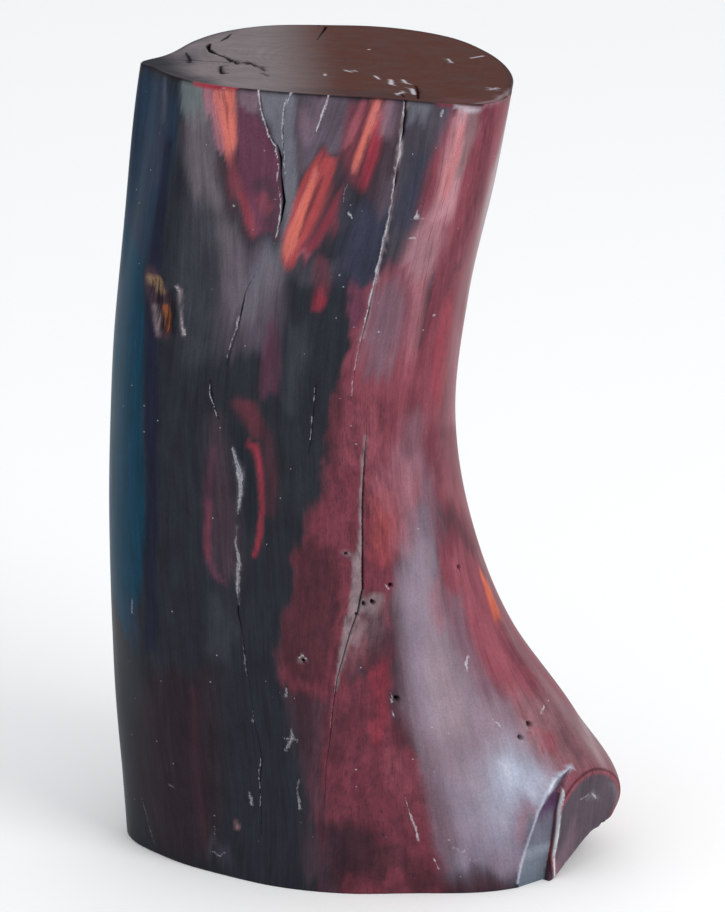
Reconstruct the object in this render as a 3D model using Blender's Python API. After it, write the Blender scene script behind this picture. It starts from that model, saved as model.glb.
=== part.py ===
"""A polished section of rosewood log with the sawn stub of one root, standing on its sawn foot.

The log grew as one piece, so it is one solid. Its skin is a loft through level sections, each given by
sixteen radii about the pith. Both ends are sawn flat, the upper one a little out of level, and so is the
root's end. The drying checks, the split beside the root, the knot pit, the borer holes and the chips in
the rim are cut from it. Lengths are metres, +Z is up, and the side with the long check faces -Y.
"""

import math

import bmesh
import bpy
import numpy as np
from mathutils import Matrix, Vector

MM = 0.001
HEIGHT = 447 * MM  # the upper sawn face above the origin
TOP_FALL = 0.05  # how far the upper face drops for each metre to the right
EASE = 0.8 * MM  # the sanded edge between the skin and a sawn end
COLUMNS = 80
LOW_STEP = 7 * MM  # rows of the loft, closer together around the root
HIGH_STEP = 13 * MM
ROOT_TOP = 96 * MM

# The level sections: height, the pith's x, then the radius every 22.5 degrees, all in millimetres.
# 0 degrees is the right (+X), 90 the back (+Y), 180 the left (-X) and 270 the front (-Y).
SECTIONS = (
    (0, -11.8, (114, 105, 103, 101, 97, 97, 102, 113, 123.5, 108, 96, 94, 96.5, 104, 127.5, 142)),
    (35, -13.8, (147, 117, 104, 97, 92, 93, 98, 110, 123.5, 111, 95, 88.5, 93, 103, 126, 162)),
    (80, -19.8, (132, 113, 99, 91, 87, 88, 93, 105, 120.5, 112, 98, 88, 88, 98, 117, 144)),
    (130, -31.8, (111, 102, 93, 86, 82, 83, 87, 97, 109.5, 108.5, 99, 87, 85, 93, 110, 120.5)),
    (190, -41.8, (99.5, 95, 88, 82, 78, 79, 82, 89, 99, 103.5, 100, 86, 82, 89, 105, 104.5)),
    (250, -45.8, (94.5, 90, 85, 80, 76, 76, 79, 85, 93, 99.5, 101, 86, 81, 88, 103, 99.5)),
    (320, -40.8, (96.5, 92, 87, 82, 78, 77, 79, 83, 92.5, 100.5, 103, 86, 81, 88, 107, 101.5)),
    (390, -29.8, (98.5, 94, 92, 88, 81, 79, 80, 81, 91, 101, 103, 89, 85, 93, 117, 107)),
    (470, -19.8, (101, 98, 100.5, 95, 85, 83, 78, 76, 79, 99, 99, 91.5, 89.5, 99, 130, 112)),
)

# The sharp shoulder that grows up the left side to the rim. How far it stands out is in millimetres, and so
# are the heights where it starts and where it is full.
SHOULDER_ANGLE = 197.5
SHOULDER_HALF_WIDTH = 5.5  # degrees
SHOULDER_PROUD = 7.5
SHOULDER_FROM, SHOULDER_FULL = 310, 455

# The drying checks, each a path of (angle in degrees, height in millimetres) down the skin.
LONG_CHECK = ((296.5, 456), (297, 430), (297, 395), (297.5, 360), (296.5, 316), (294, 274))
KNEE_CHECK = (
    (300, 264), (298.5, 229), (295.5, 190), (291, 165), (286, 148), (279, 121), (272, 94), (268, 77),
)
UPPER_CHECK = (
    (247.5, 458), (249, 436), (255, 421), (257.5, 407), (259.5, 385), (258, 363), (252, 343), (251, 323),
    (248, 297),
)
SIDE_CHECK = (
    (243.5, 286), (246, 270), (252, 251), (254.5, 234), (251.5, 207), (249, 172), (248.5, 144), (246, 115),
    (244.5, 74), (240, 30),
)
BACK_CHECK = ((92.5, 457), (94, 420), (91.5, 370), (93, 320), (90, 262), (91.5, 215), (89, 160))
LEE_CHECK = ((31, 455), (33, 410), (31, 350), (33, 290), (29, 225), (31, 176))
CHECK_SPACING = 9 * MM  # between the stations of a check's cutter
CUT_CLEARANCE = 2 * MM  # how far a cutter stands out of the skin

# The split beside the root, level by level in millimetres: height, then x and y of its left lip, its
# right lip and its valley. The valley lies behind the right lip, so the left wall is the broad one.
ROOT_SPLIT = (
    (-6, (86, -83.5), (103, -74), (99.5, -73)),
    (14, (91.5, -84.5), (105, -78), (101.5, -74)),
    (27, (95.5, -85), (106, -80.5), (102.5, -74.5)),
    (41, (99.5, -83), (106.5, -81.5), (104, -74.5)),
    (54, (106.5, -78), (109.3, -77), (108, -72)),
    (65, (112.2, -71.5), (113.4, -71), (112.6, -69.4)),
)
ROOT_END_POINT = Vector((105.5, -78, 20)) * MM  # on the root's sawn end
ROOT_END_BEARING = -40  # degrees, the way that the sawn end faces
ROOT_END_TILT = -7
# The root's underside from below the floor to its tip, as x and z in millimetres.
ROOT_UNDERSIDE = ((93, -10), (103.5, 0), (123, 18.5), (138, 24.5), (146, 38))

KNOT_PIT = (227.5, 330, 11, 19, 3.5)  # angle, height, half width, half height and depth in millimetres
BORER_HOLES = (
    (328, 176), (303, 174), (297.5, 166), (291, 158), (291, 192), (297, 111), (328.5, 89), (325, 83),
    (269, 132), (352, 204), (64, 128), (118, 301), (123, 292), (176, 96),
)
HOLE_RADIUS = 1.1 * MM
HOLE_DEPTH = 6 * MM

NOTCH_ANGLE = 92.5  # where the back check opens at the rim
NOTCH_SIZE = Vector((5, 9, 5)) * MM
CORNER_ANGLE = 172  # where a corner is knocked off the rim
CORNER_SIZE = Vector((30, 14, 14)) * MM
CORNER_TURN = -42


def smooth_curve(values, places, at):
    """Cubic curve through values at places, read at every place in the array at."""
    values, places, at = np.asarray(values, float), np.asarray(places, float), np.asarray(at, float)
    slopes = np.gradient(values, places, axis=0)
    cell = np.clip(np.searchsorted(places, at) - 1, 0, len(places) - 2)
    span = places[cell + 1] - places[cell]
    t = (at - places[cell]) / span
    if values.ndim == 2:
        span, t = span[:, None], t[:, None]
    return (
        values[cell] * (2 * t**3 - 3 * t**2 + 1)
        + slopes[cell] * span * (t**3 - 2 * t**2 + t)
        + values[cell + 1] * (3 * t**2 - 2 * t**3)
        + slopes[cell + 1] * span * (t**3 - t**2)
    )


def pith_at(heights):
    """The pith's x at each height."""
    return smooth_curve([row[1] * MM for row in SECTIONS], [row[0] * MM for row in SECTIONS], heights)


def shoulder(angles, heights):
    """How far the left shoulder stands out of the loft."""
    grown = np.clip((heights / MM - SHOULDER_FROM) / (SHOULDER_FULL - SHOULDER_FROM), 0, 1)
    across = np.exp(-(((angles - SHOULDER_ANGLE) / SHOULDER_HALF_WIDTH) ** 2))
    return SHOULDER_PROUD * MM * grown**2 * (3 - 2 * grown) * across


def skin_points(angles, heights, sunk=0.0):
    """Points of the skin, one for each angle in degrees and height, sunk by a length towards the pith."""
    angles, heights = np.broadcast_arrays(np.atleast_1d(angles) % 360, np.atleast_1d(heights))
    count = len(SECTIONS[0][2])
    wrapped = [row[2][-2:] + row[2] + row[2][:3] for row in SECTIONS]
    stations = (np.arange(count + 5) - 2) * 360 / count
    by_height = smooth_curve(wrapped, [row[0] * MM for row in SECTIONS], heights) * MM
    radius = np.array([smooth_curve(r, stations, [a])[0] for r, a in zip(by_height, angles)])
    radius = radius + shoulder(angles, heights) - sunk
    turn = np.radians(angles)
    return np.stack([pith_at(heights) + radius * np.cos(turn), radius * np.sin(turn), heights], axis=1)


def top_height(x):
    """Height of the upper sawn face at x."""
    return HEIGHT - TOP_FALL * x


def mesh_object(name, bm):
    """Puts a bmesh in the scene as an object with that name."""
    bmesh.ops.recalc_face_normals(bm, faces=bm.faces)
    mesh = bpy.data.meshes.new(name)
    bm.to_mesh(mesh)
    bm.free()
    made = bpy.data.objects.new(name, mesh)
    bpy.context.scene.collection.objects.link(made)
    return made


def skin_rings():
    """The loft's rings from the foot to the rim, the first and last drawn in by the eased edge."""
    angles = np.arange(COLUMNS) * 360 / COLUMNS
    rim = np.full(COLUMNS, HEIGHT)
    for _ in range(4):
        rim = top_height(skin_points(angles, rim)[:, 0])
    low = np.arange(EASE, ROOT_TOP, LOW_STEP)
    shares = np.linspace(0, 1, math.ceil((HEIGHT - ROOT_TOP) / HIGH_STEP))
    foot = skin_points(angles, np.full(COLUMNS, EASE), EASE)
    foot[:, 2] = 0
    rings = [foot]
    rings += [skin_points(angles, np.full(COLUMNS, height)) for height in low]
    rings += [skin_points(angles, ROOT_TOP + share * (rim - EASE - ROOT_TOP)) for share in shares]
    edge = skin_points(angles, rim, EASE)
    edge[:, 2] = top_height(edge[:, 0])
    rings.append(edge)
    return rings


def log_skin():
    """The uncut log: its rings bridged by faces, with a flat face over each sawn end."""
    bm = bmesh.new()
    loops = [[bm.verts.new(point) for point in ring] for ring in skin_rings()]
    for below, above in zip(loops, loops[1:]):
        for i in range(COLUMNS):
            j = (i + 1) % COLUMNS
            bm.faces.new((below[i], below[j], above[j], above[i]))
    bm.faces.new(loops[0])
    bm.faces.new(loops[-1])
    return mesh_object("log", bm)


def along(path, spacing):
    """Stations of a path of (angle, height in millimetres) about spacing apart, as angles and heights."""
    heights = np.array([height for _, height in path]) * MM
    count = math.ceil(abs(heights[-1] - heights[0]) / spacing)
    fine = np.linspace(heights[0], heights[-1], count + 1)
    order = np.argsort(heights)
    return smooth_curve(np.array([angle for angle, _ in path])[order], heights[order], fine), fine


def wedge_between(name, left, right, valley):
    """A cutter whose sections are triangles: two lips outside the skin and a valley inside it."""
    bm = bmesh.new()
    sections = [[bm.verts.new(p) for p in corners] for corners in zip(left, right, valley)]
    for one, two in zip(sections, sections[1:]):
        for i in range(3):
            j = (i + 1) % 3
            bm.faces.new((one[i], one[j], two[j], two[i]))
    bm.faces.new(sections[0])
    bm.faces.new(sections[-1])
    bmesh.ops.triangulate(bm, faces=bm.faces)
    return mesh_object(name, bm)


def check_cutter(name, path, width, depth):
    """The cutter of one drying check: a thin wedge down its path, fine at the ends."""
    angles, heights = along(path, CHECK_SPACING)
    share = np.linspace(0, 1, len(heights))
    opens_above = heights[0] > HEIGHT
    swell = np.sin(math.pi * share**0.75) if not opens_above else np.cos(math.pi / 2 * share)
    swell = 0.12 + 0.88 * np.clip(swell, 0, 1)
    skin = skin_points(angles, heights)
    half = np.degrees(width / 2 * swell / np.hypot(skin[:, 0] - pith_at(heights), skin[:, 1]))
    return wedge_between(
        name,
        skin_points(angles - half, heights, -CUT_CLEARANCE),
        skin_points(angles + half, heights, -CUT_CLEARANCE),
        skin_points(angles, heights, depth * swell),
    )


def root_split_cutter():
    """The open split between the trunk's swell and the root's stub."""
    levels = []
    for height, *corners in ROOT_SPLIT:
        left, right, valley = (Vector((x, y, height)) * MM for x, y in corners)
        levels.append((left + 0.6 * (left - valley), right + 0.6 * (right - valley), valley))
    return wedge_between("split_cutter", *zip(*levels))


def box_cutter(name, size, placed):
    """A box of that size, placed by a matrix."""
    bm = bmesh.new()
    bmesh.ops.create_cube(bm, size=1, matrix=Matrix.Diagonal((*size, 1)))
    bmesh.ops.transform(bm, matrix=placed, verts=bm.verts)
    return mesh_object(name, bm)


def root_end_cutter():
    """Takes off the root's tip in one flat saw cut."""
    reach = 200 * MM
    bearing = Matrix.Rotation(math.radians(ROOT_END_BEARING), 4, "Z")
    tilt = Matrix.Rotation(math.radians(-ROOT_END_TILT), 4, "Y")
    outside = Matrix.Translation((reach / 2, 0, 0))
    placed = Matrix.Translation(ROOT_END_POINT) @ bearing @ tilt @ outside
    return box_cutter("root_end_cutter", (reach, reach, reach), placed)


def root_underside_cutter():
    """Clears the underside of the root, which rises from the floor towards its tip."""
    beyond, half_width = 220, 200
    outline = [*ROOT_UNDERSIDE, (beyond, ROOT_UNDERSIDE[-1][1]), (beyond, ROOT_UNDERSIDE[0][1])]
    bm = bmesh.new()
    front, back = (
        [bm.verts.new(Vector((x, y, z)) * MM) for x, z in outline] for y in (-half_width, half_width)
    )
    for i in range(len(outline)):
        j = (i + 1) % len(outline)
        bm.faces.new((front[i], front[j], back[j], back[i]))
    bm.faces.new(front)
    bm.faces.new(back)
    bmesh.ops.triangulate(bm, faces=bm.faces)
    return mesh_object("root_underside_cutter", bm)


def skin_frame(angle, height):
    """A matrix whose origin is on the skin and whose Z points straight out of it."""
    places = ((angle, height), (angle + 1, height), (angle, height + 5 * MM))
    here, beside, above = (Vector(skin_points(*place)[0]) for place in places)
    across = (beside - here).normalized()
    out = across.cross(above - here).normalized()
    up = out.cross(across)
    frame = Matrix((across, up, out)).transposed().to_4x4()
    return Matrix.Translation(here) @ frame


def knot_cutter():
    """The shallow scoop where a dead knot has crumbled out of the left front."""
    angle, height, half_width, half_height, depth = KNOT_PIT
    bm = bmesh.new()
    bmesh.ops.create_icosphere(bm, subdivisions=3, radius=1)
    scoop = Matrix.Diagonal((half_width * MM, half_height * MM, 2 * depth * MM, 1))
    placed = skin_frame(angle, height * MM) @ Matrix.Translation((0, 0, depth * MM)) @ scoop
    bmesh.ops.transform(bm, matrix=placed, verts=bm.verts)
    return mesh_object("knot_cutter", bm)


def hole_cutter(index, angle, height):
    """One borer's exit hole, a short round bore square to the skin."""
    bm = bmesh.new()
    length = HOLE_DEPTH + CUT_CLEARANCE
    bmesh.ops.create_cone(
        bm, cap_ends=True, segments=8, radius1=HOLE_RADIUS, radius2=HOLE_RADIUS, depth=length
    )
    sunk = Matrix.Translation((0, 0, (CUT_CLEARANCE - HOLE_DEPTH) / 2))
    bmesh.ops.transform(bm, matrix=skin_frame(angle, height * MM) @ sunk, verts=bm.verts)
    return mesh_object(f"hole_cutter_{index}", bm)


def rim_chip_cutters():
    """The notch where the back check opens at the rim, and the knocked-off corner at the rim's left."""
    notch = skin_frame(NOTCH_ANGLE, HEIGHT + 1 * MM) @ Matrix.Rotation(math.radians(45), 4, "Y")
    corner = skin_frame(CORNER_ANGLE, HEIGHT + 4 * MM)
    turned = Matrix.Rotation(math.radians(CORNER_TURN), 4, "X") @ Matrix.Translation((0, 0, 5.5 * MM))
    return [
        box_cutter("notch_cutter", NOTCH_SIZE, notch),
        box_cutter("corner_cutter", CORNER_SIZE, corner @ turned),
    ]


def all_cutters():
    """Every cutter, in the order in which the log loses its material."""
    cutters = [root_end_cutter(), root_underside_cutter(), root_split_cutter(), knot_cutter()]
    cutters += rim_chip_cutters()
    for name, path, width, depth in (
        ("long_check", LONG_CHECK, 1.6, 16),
        ("knee_check", KNEE_CHECK, 2.0, 15),
        ("upper_check", UPPER_CHECK, 2.4, 13),
        ("side_check", SIDE_CHECK, 1.4, 9),
        ("back_check", BACK_CHECK, 2.0, 16),
        ("lee_check", LEE_CHECK, 1.5, 12),
    ):
        cutters.append(check_cutter(name + "_cutter", path, width * MM, depth * MM))
    cutters += [hole_cutter(i, angle, height) for i, (angle, height) in enumerate(BORER_HOLES)]
    return cutters


def polished_rosewood():
    """Dark oiled heartwood with a satin polish."""
    material = bpy.data.materials.new("polished_rosewood")
    material.use_nodes = True
    shader = material.node_tree.nodes["Principled BSDF"]
    shader.inputs["Base Color"].default_value = (0.075, 0.030, 0.034, 1)
    shader.inputs["Roughness"].default_value = 0.34
    shader.inputs["Metallic"].default_value = 0.0
    return material


def cut_log():
    """The finished log: the skin with every cutter taken from it."""
    log = log_skin()
    log.data.materials.append(polished_rosewood())
    log.data.shade_smooth()
    log.data.set_sharp_from_angle(angle=math.radians(38))
    for cutter in all_cutters():
        cutter.hide_render = True
        cutter.display_type = "WIRE"
        cut = log.modifiers.new(cutter.name, "BOOLEAN")
        cut.operation = "DIFFERENCE"
        cut.solver = "EXACT"
        cut.object = cutter
    return log


for old in list(bpy.data.objects):
    bpy.data.objects.remove(old)
cut_log()
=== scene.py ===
"""Looks of a polished section of rosewood log on its sawn foot, with the sawn stub of one root."""

import math

import bmesh
import bpy
import numpy as np
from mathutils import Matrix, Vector
from mathutils.bvhtree import BVHTree


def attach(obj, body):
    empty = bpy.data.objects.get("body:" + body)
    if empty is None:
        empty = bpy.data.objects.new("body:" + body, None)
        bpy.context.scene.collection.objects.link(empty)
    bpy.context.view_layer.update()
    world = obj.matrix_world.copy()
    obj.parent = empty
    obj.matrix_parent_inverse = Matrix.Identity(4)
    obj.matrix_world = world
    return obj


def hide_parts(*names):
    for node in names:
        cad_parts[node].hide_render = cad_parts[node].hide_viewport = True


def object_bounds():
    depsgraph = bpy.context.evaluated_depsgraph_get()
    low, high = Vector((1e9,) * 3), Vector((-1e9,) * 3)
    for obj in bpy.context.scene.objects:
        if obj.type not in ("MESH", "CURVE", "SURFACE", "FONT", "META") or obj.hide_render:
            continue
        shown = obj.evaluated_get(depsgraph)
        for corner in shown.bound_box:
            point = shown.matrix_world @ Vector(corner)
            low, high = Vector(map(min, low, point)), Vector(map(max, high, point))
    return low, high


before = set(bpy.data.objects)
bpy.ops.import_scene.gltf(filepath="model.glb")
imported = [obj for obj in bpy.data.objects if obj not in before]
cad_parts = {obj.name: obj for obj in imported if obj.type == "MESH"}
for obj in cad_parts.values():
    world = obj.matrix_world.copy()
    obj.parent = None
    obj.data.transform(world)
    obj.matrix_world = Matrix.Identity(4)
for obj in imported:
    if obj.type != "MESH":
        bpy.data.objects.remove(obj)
cad_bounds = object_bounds()
MM = 0.001

# The viewpoint. The photograph was taken from about three metres with a long lens, looking down at
# 17 degrees. Marks on the log are named by the photo pixel they are seen at, and a ray from the lens
# finds their place.
PHOTO_WIDTH, PHOTO_HEIGHT = 725, 912
FOCAL_PIXELS = 5499
LENS_PLACE = Vector((-1.8, -2918, 1112)) * MM
LOOK_DOWN = math.radians(16.956)
SENSOR = 36

lens = bpy.data.cameras.new("photo_camera")
lens.sensor_width = SENSOR
lens.lens = FOCAL_PIXELS / PHOTO_HEIGHT * SENSOR
camera = bpy.data.objects.new("photo_camera", lens)
camera.location = LENS_PLACE
camera.rotation_euler = (math.radians(90) - LOOK_DOWN, 0, 0)
bpy.context.scene.collection.objects.link(camera)
bpy.context.scene.camera = camera


def ray_at(x, y):
    """The way from the lens through one pixel of the photo."""
    ahead = Vector((0, math.cos(LOOK_DOWN), -math.sin(LOOK_DOWN)))
    above = Vector((0, math.sin(LOOK_DOWN), math.cos(LOOK_DOWN)))
    aside = Vector(((x - PHOTO_WIDTH / 2) / FOCAL_PIXELS, 0, 0))
    return (ahead + aside + above * (PHOTO_HEIGHT / 2 - y) / FOCAL_PIXELS).normalized()


def pixels_of(places):
    """The photo pixels, as x and y, at which places are seen."""
    away = places - np.array(LENS_PLACE)
    depth = away[:, 1] * math.cos(LOOK_DOWN) - away[:, 2] * math.sin(LOOK_DOWN)
    rise = away[:, 1] * math.sin(LOOK_DOWN) + away[:, 2] * math.cos(LOOK_DOWN)
    x = PHOTO_WIDTH / 2 + FOCAL_PIXELS * away[:, 0] / depth
    return np.stack([x, PHOTO_HEIGHT / 2 - FOCAL_PIXELS * rise / depth], 1)


# The log: a short length of rosewood trunk with its flared foot, sawn across at both ends and through its
# one root, then rubbed smooth, oiled and waxed. It grew as one piece, so it is one mesh, and its skin is a
# smooth loft through level sections. Each section has its height, its pith's x and sixteen radii in
# millimetres, counted every 22.5 degrees from the right (+X) round the back (+Y), left and front.
SECTIONS = (
    (0, -11.8, (114, 105, 103, 101, 97, 97, 102, 113, 123.5, 108, 96, 94, 96.5, 104, 127.5, 142)),
    (35, -13.8, (147, 117, 104, 97, 92, 93, 98, 110, 123.5, 111, 95, 88.5, 93, 103, 126, 162)),
    (80, -19.8, (132, 113, 99, 91, 87, 88, 93, 105, 120.5, 112, 98, 88, 88, 98, 117, 144)),
    (130, -31.8, (111, 102, 93, 86, 82, 83, 87, 97, 109.5, 108.5, 99, 87, 85, 93, 110, 120.5)),
    (190, -41.8, (99.5, 95, 88, 82, 78, 79, 82, 89, 99, 103.5, 100, 86, 82, 89, 105, 104.5)),
    (250, -45.8, (94.5, 90, 85, 80, 76, 76, 79, 85, 93, 99.5, 101, 86, 81, 88, 103, 99.5)),
    (320, -40.8, (96.5, 92, 87, 82, 78, 77, 79, 83, 92.5, 100.5, 103, 86, 81, 88, 107, 101.5)),
    (390, -29.8, (98.5, 94, 92, 88, 81, 79, 80, 81, 91, 101, 103, 89, 85, 93, 117, 107)),
    (470, -19.8, (101, 98, 100.5, 95, 85, 83, 78, 76, 79, 99, 99, 91.5, 89.5, 99, 130, 112)),
)
LEVELS = np.array([row[0] for row in SECTIONS]) * MM
PITHS = np.array([row[1] for row in SECTIONS]) * MM
RADII = np.array([row[2] for row in SECTIONS]) * MM
# The upper face falls to the right, both sawn edges are eased, and polishing has worn a little off it all.
HEIGHT = 447 * MM
TOP_FALL = 0.05
EASE = 0.9 * MM
WORN = 0.12 * MM
# A narrow ridge stands proud of the trunk below the rim on the upper left.
SHOULDER_ANGLE, SHOULDER_HALF_WIDTH, SHOULDER_PROUD = 197.5, 5.5, 7.5 * MM
SHOULDER_FROM, SHOULDER_FULL = 310 * MM, 455 * MM
# The root's sawn end is a plane by a point, a bearing and a tilt, and its underside a line of x and height.
ROOT_END = (Vector((105.3, -77.8, 20)) * MM, math.radians(-40), math.radians(-7))
ROOT_UNDERSIDE = np.array([(103.5, 0), (123, 18.5), (138, 24.5), (146, 38)]) * MM
END_BLEND, UNDERSIDE_BLEND = 1.2 * MM, 2.0 * MM
LEAST_FACING, UNCUT = 0.05, 1.0
RIM_ROUNDS = 4
# Angles are counted from a seam at the back, in degrees, so that the front has no jump in them.
SEAM = 60


def smooth_curve(values, places, at):
    """Cubic curve through values at places, read at every place in the array at."""
    slopes = np.gradient(values, places, axis=0)
    cell = np.clip(np.searchsorted(places, at) - 1, 0, len(places) - 2)
    span = places[cell + 1] - places[cell]
    t = (at - places[cell]) / span
    if values.ndim == 2:
        span, t = span[:, None], t[:, None]
    return (
        values[cell] * (2 * t**3 - 3 * t**2 + 1)
        + slopes[cell] * span * (t**3 - 2 * t**2 + t)
        + values[cell + 1] * (3 * t**2 - 2 * t**3)
        + slopes[cell + 1] * span * (t**3 - t**2)
    )


def pith_at(heights):
    """The pith's x at each height."""
    return smooth_curve(PITHS, LEVELS, heights)


def skin_radius(angles, heights):
    """Distance from pith to skin at angles in degrees and heights in metres."""
    count = RADII.shape[1]
    by_height = smooth_curve(RADII, LEVELS, heights)
    place = (angles % 360) * count / 360
    cell = np.floor(place).astype(int)
    t = place - cell
    rows = np.arange(len(place))
    before, here, after, beyond = (by_height[rows, (cell + k) % count] for k in (-1, 0, 1, 2))
    loft = (
        here * (2 * t**3 - 3 * t**2 + 1)
        + (after - before) / 2 * (t**3 - 2 * t**2 + t)
        + after * (3 * t**2 - 2 * t**3)
        + (beyond - here) / 2 * (t**3 - t**2)
    )
    grown = np.clip((heights - SHOULDER_FROM) / (SHOULDER_FULL - SHOULDER_FROM), 0, 1)
    ridge = np.exp(-(((angles % 360 - SHOULDER_ANGLE) / SHOULDER_HALF_WIDTH) ** 2))
    return loft + SHOULDER_PROUD * grown**2 * (3 - 2 * grown) * ridge - WORN


def softer_least(one, two, blend):
    """The lesser of two lengths, eased over a blend where they meet."""
    share = np.clip(0.5 + (two - one) / (2 * blend), 0, 1)
    return two * (1 - share) + one * share - blend * share * (1 - share)


def cut_radius(angles, heights):
    """The skin's radius once the root's end and underside are sawn off."""
    radius = skin_radius(angles, heights)
    turn = np.radians(angles)
    across, along = np.cos(turn), np.sin(turn)
    pith = pith_at(heights)
    point, bearing, tilt = ROOT_END
    out = Vector((math.cos(bearing) * math.cos(tilt), math.sin(bearing) * math.cos(tilt), math.sin(tilt)))
    towards = out.x * across + out.y * along
    gap = out.x * (point.x - pith) + out.y * point.y + out.z * (point.z - heights)
    end = np.where(towards > LEAST_FACING, gap / np.maximum(towards, LEAST_FACING), UNCUT)
    clear = np.interp(heights, ROOT_UNDERSIDE[:, 1], ROOT_UNDERSIDE[:, 0]) - pith
    under = (across > LEAST_FACING) & (heights < ROOT_UNDERSIDE[-1, 1])
    rise = np.where(under, clear / np.maximum(across, LEAST_FACING), UNCUT)
    return softer_least(softer_least(radius, end, END_BLEND), rise, UNDERSIDE_BLEND)


def rim_height(angles):
    """Height of the upper sawn face where the skin meets it."""
    heights = np.full(len(angles), HEIGHT)
    for _ in range(RIM_ROUNDS):
        x = pith_at(heights) + skin_radius(angles, heights) * np.cos(np.radians(angles))
        heights = HEIGHT - TOP_FALL * x
    return heights


def surface(angles, parts):
    """Places on the log before anything is opened in it, with their heights.

    Parts from 0 to 1 climb the skin, those above 1 cross the upper sawn face to its middle, and those
    below 0 cross the foot.
    """
    rims = rim_height(angles)
    heights = np.clip(parts, 0, 1) * rims
    radius = cut_radius(angles, heights)
    near_rim = np.clip((heights - rims + EASE) / EASE, 0, 1)
    near_foot = np.clip((EASE - heights) / EASE, 0, 1)
    for near in (near_rim, near_foot):
        radius = radius - EASE * (1 - np.sqrt(1 - near**2))
    radius = radius * np.where(parts > 1, 2 - parts, 1) * np.where(parts < 0, 1 + parts, 1)
    turn = np.radians(angles)
    places = np.stack([pith_at(heights) + radius * np.cos(turn), radius * np.sin(turn), heights], 1)
    on_top = parts >= 1
    places[on_top, 2] = HEIGHT - TOP_FALL * places[on_top, 0]
    return places, heights


# A coarse skin, which rays from the lens meet to find where a pixel's mark lies.
COARSE_ROWS = 226
coarse_angles = np.arange(SEAM, SEAM + 361, 1.0)
coarse_parts = np.linspace(0, 1, COARSE_ROWS)
coarse_grid = np.meshgrid(coarse_parts, coarse_angles, indexing="ij")
coarse_places, _ = surface(coarse_grid[1].ravel(), coarse_grid[0].ravel())
wide = len(coarse_angles)
coarse_faces = [
    (r * wide + c, r * wide + c + 1, (r + 1) * wide + c + 1, (r + 1) * wide + c)
    for r in range(len(coarse_parts) - 1)
    for c in range(wide - 1)
]
skin_tree = BVHTree.FromPolygons([Vector(p) for p in coarse_places], coarse_faces)


def bearing_of(x, y, heights):
    """Angle of points about the pith in degrees, counted on from the seam."""
    angles = np.degrees(np.arctan2(y, x - pith_at(heights)))
    return (angles - SEAM) % 360 + SEAM


square = coarse_places.reshape(len(coarse_parts), wide, 3)
faces_out = np.cross(np.gradient(square, axis=1), np.gradient(square, axis=0)).reshape(-1, 3)
facing = (faces_out * (coarse_places - np.array(LENS_PLACE))).sum(axis=1) < 0
seen_places, seen_angles = coarse_places[facing], coarse_grid[1].ravel()[facing]
seen_pixels = pixels_of(seen_places)
# For each pixel past the outline, a mark moves on by so many degrees round the log or metres up it.
BEYOND_TURN = 1.0
PIXEL_HEIGHT = 0.58 * MM


def on_skin(marks):
    """Turns marks of pixel x, pixel y and half width in millimetres into angle, height and half width.

    A pixel beyond the log's outline carries on round the log or past its end from the nearest place
    that shows.
    """
    found = []
    for x, y, *half in marks:
        hit, normal = skin_tree.ray_cast(LENS_PLACE, ray_at(x, y))[:2]
        if hit is not None and normal.dot(ray_at(x, y)) < 0:
            angle, height = bearing_of(hit.x, hit.y, np.array([hit.z]))[0], hit.z
        else:
            nearest = np.argmin(np.hypot(*(seen_pixels - (x, y)).T))
            angle = seen_angles[nearest] + (x - seen_pixels[nearest, 0]) * BEYOND_TURN
            height = seen_places[nearest, 2] - (y - seen_pixels[nearest, 1]) * PIXEL_HEIGHT
        found.append((angle, height, half[0] * MM if half else 0))
    return np.array(found)


def by_angle(marks):
    """Turns marks of angle, height and half width, both lengths in millimetres, into metres."""
    return np.array([(angle, height * MM, half[0] * MM if half else 0) for angle, height, *half in marks])


def on_top_face(marks):
    """Turns marks of pixel x, pixel y and half width in millimetres into x, y and half width on the top."""
    found = []
    for x, y, half in marks:
        way = ray_at(x, y)
        length = (HEIGHT - TOP_FALL * LENS_PLACE.x - LENS_PLACE.z) / (way.z + TOP_FALL * way.x)
        hit = LENS_PLACE + way * length
        found.append((hit.x, hit.y, half * MM))
    return np.array(found)


# A distance in metres beyond anything on the log, and the least values to divide by.
FAR = 1.0
TINY, LEVEL_RISE = 1e-12, 1e-9


def depth_within(points, stroke, scale=1.0):
    """How far inside a tapering stroke each point lies in metres, negative outside it."""
    best = np.full(len(points), -FAR)
    ends = [(stroke[0], stroke[0])] if len(stroke) == 1 else list(zip(stroke, stroke[1:]))
    for one, two in ends:
        px, py = (points[:, 0] - one[0]) * scale, points[:, 1] - one[1]
        sx, sy = (two[0] - one[0]) * scale, two[1] - one[1]
        t = np.clip((px * sx + py * sy) / np.maximum(sx**2 + sy**2, TINY), 0, 1)
        away = np.hypot(px - t * sx, py - t * sy)
        best = np.maximum(best, one[2] + (two[2] - one[2]) * t - away)
    return best


def depth_in_patch(points, outline, scale):
    """How far inside an outline each point lies in metres, negative outside it."""
    nearest = np.full(len(points), FAR)
    inside = np.zeros(len(points), bool)
    for one, two in zip(outline, np.roll(outline, -1, axis=0)):
        px, py = (points[:, 0] - one[0]) * scale, points[:, 1] - one[1]
        sx, sy = (two[0] - one[0]) * scale, two[1] - one[1]
        t = np.clip((px * sx + py * sy) / np.maximum(sx**2 + sy**2, TINY), 0, 1)
        nearest = np.minimum(nearest, np.hypot(px - t * sx, py - t * sy))
        crosses = (one[1] > points[:, 1]) != (two[1] > points[:, 1])
        rise = sy if abs(sy) > LEVEL_RISE else LEVEL_RISE
        inside ^= crosses & (points[:, 0] < one[0] + (points[:, 1] - one[1]) / rise * (two[0] - one[0]))
    return np.where(inside, nearest, -nearest)


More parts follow.
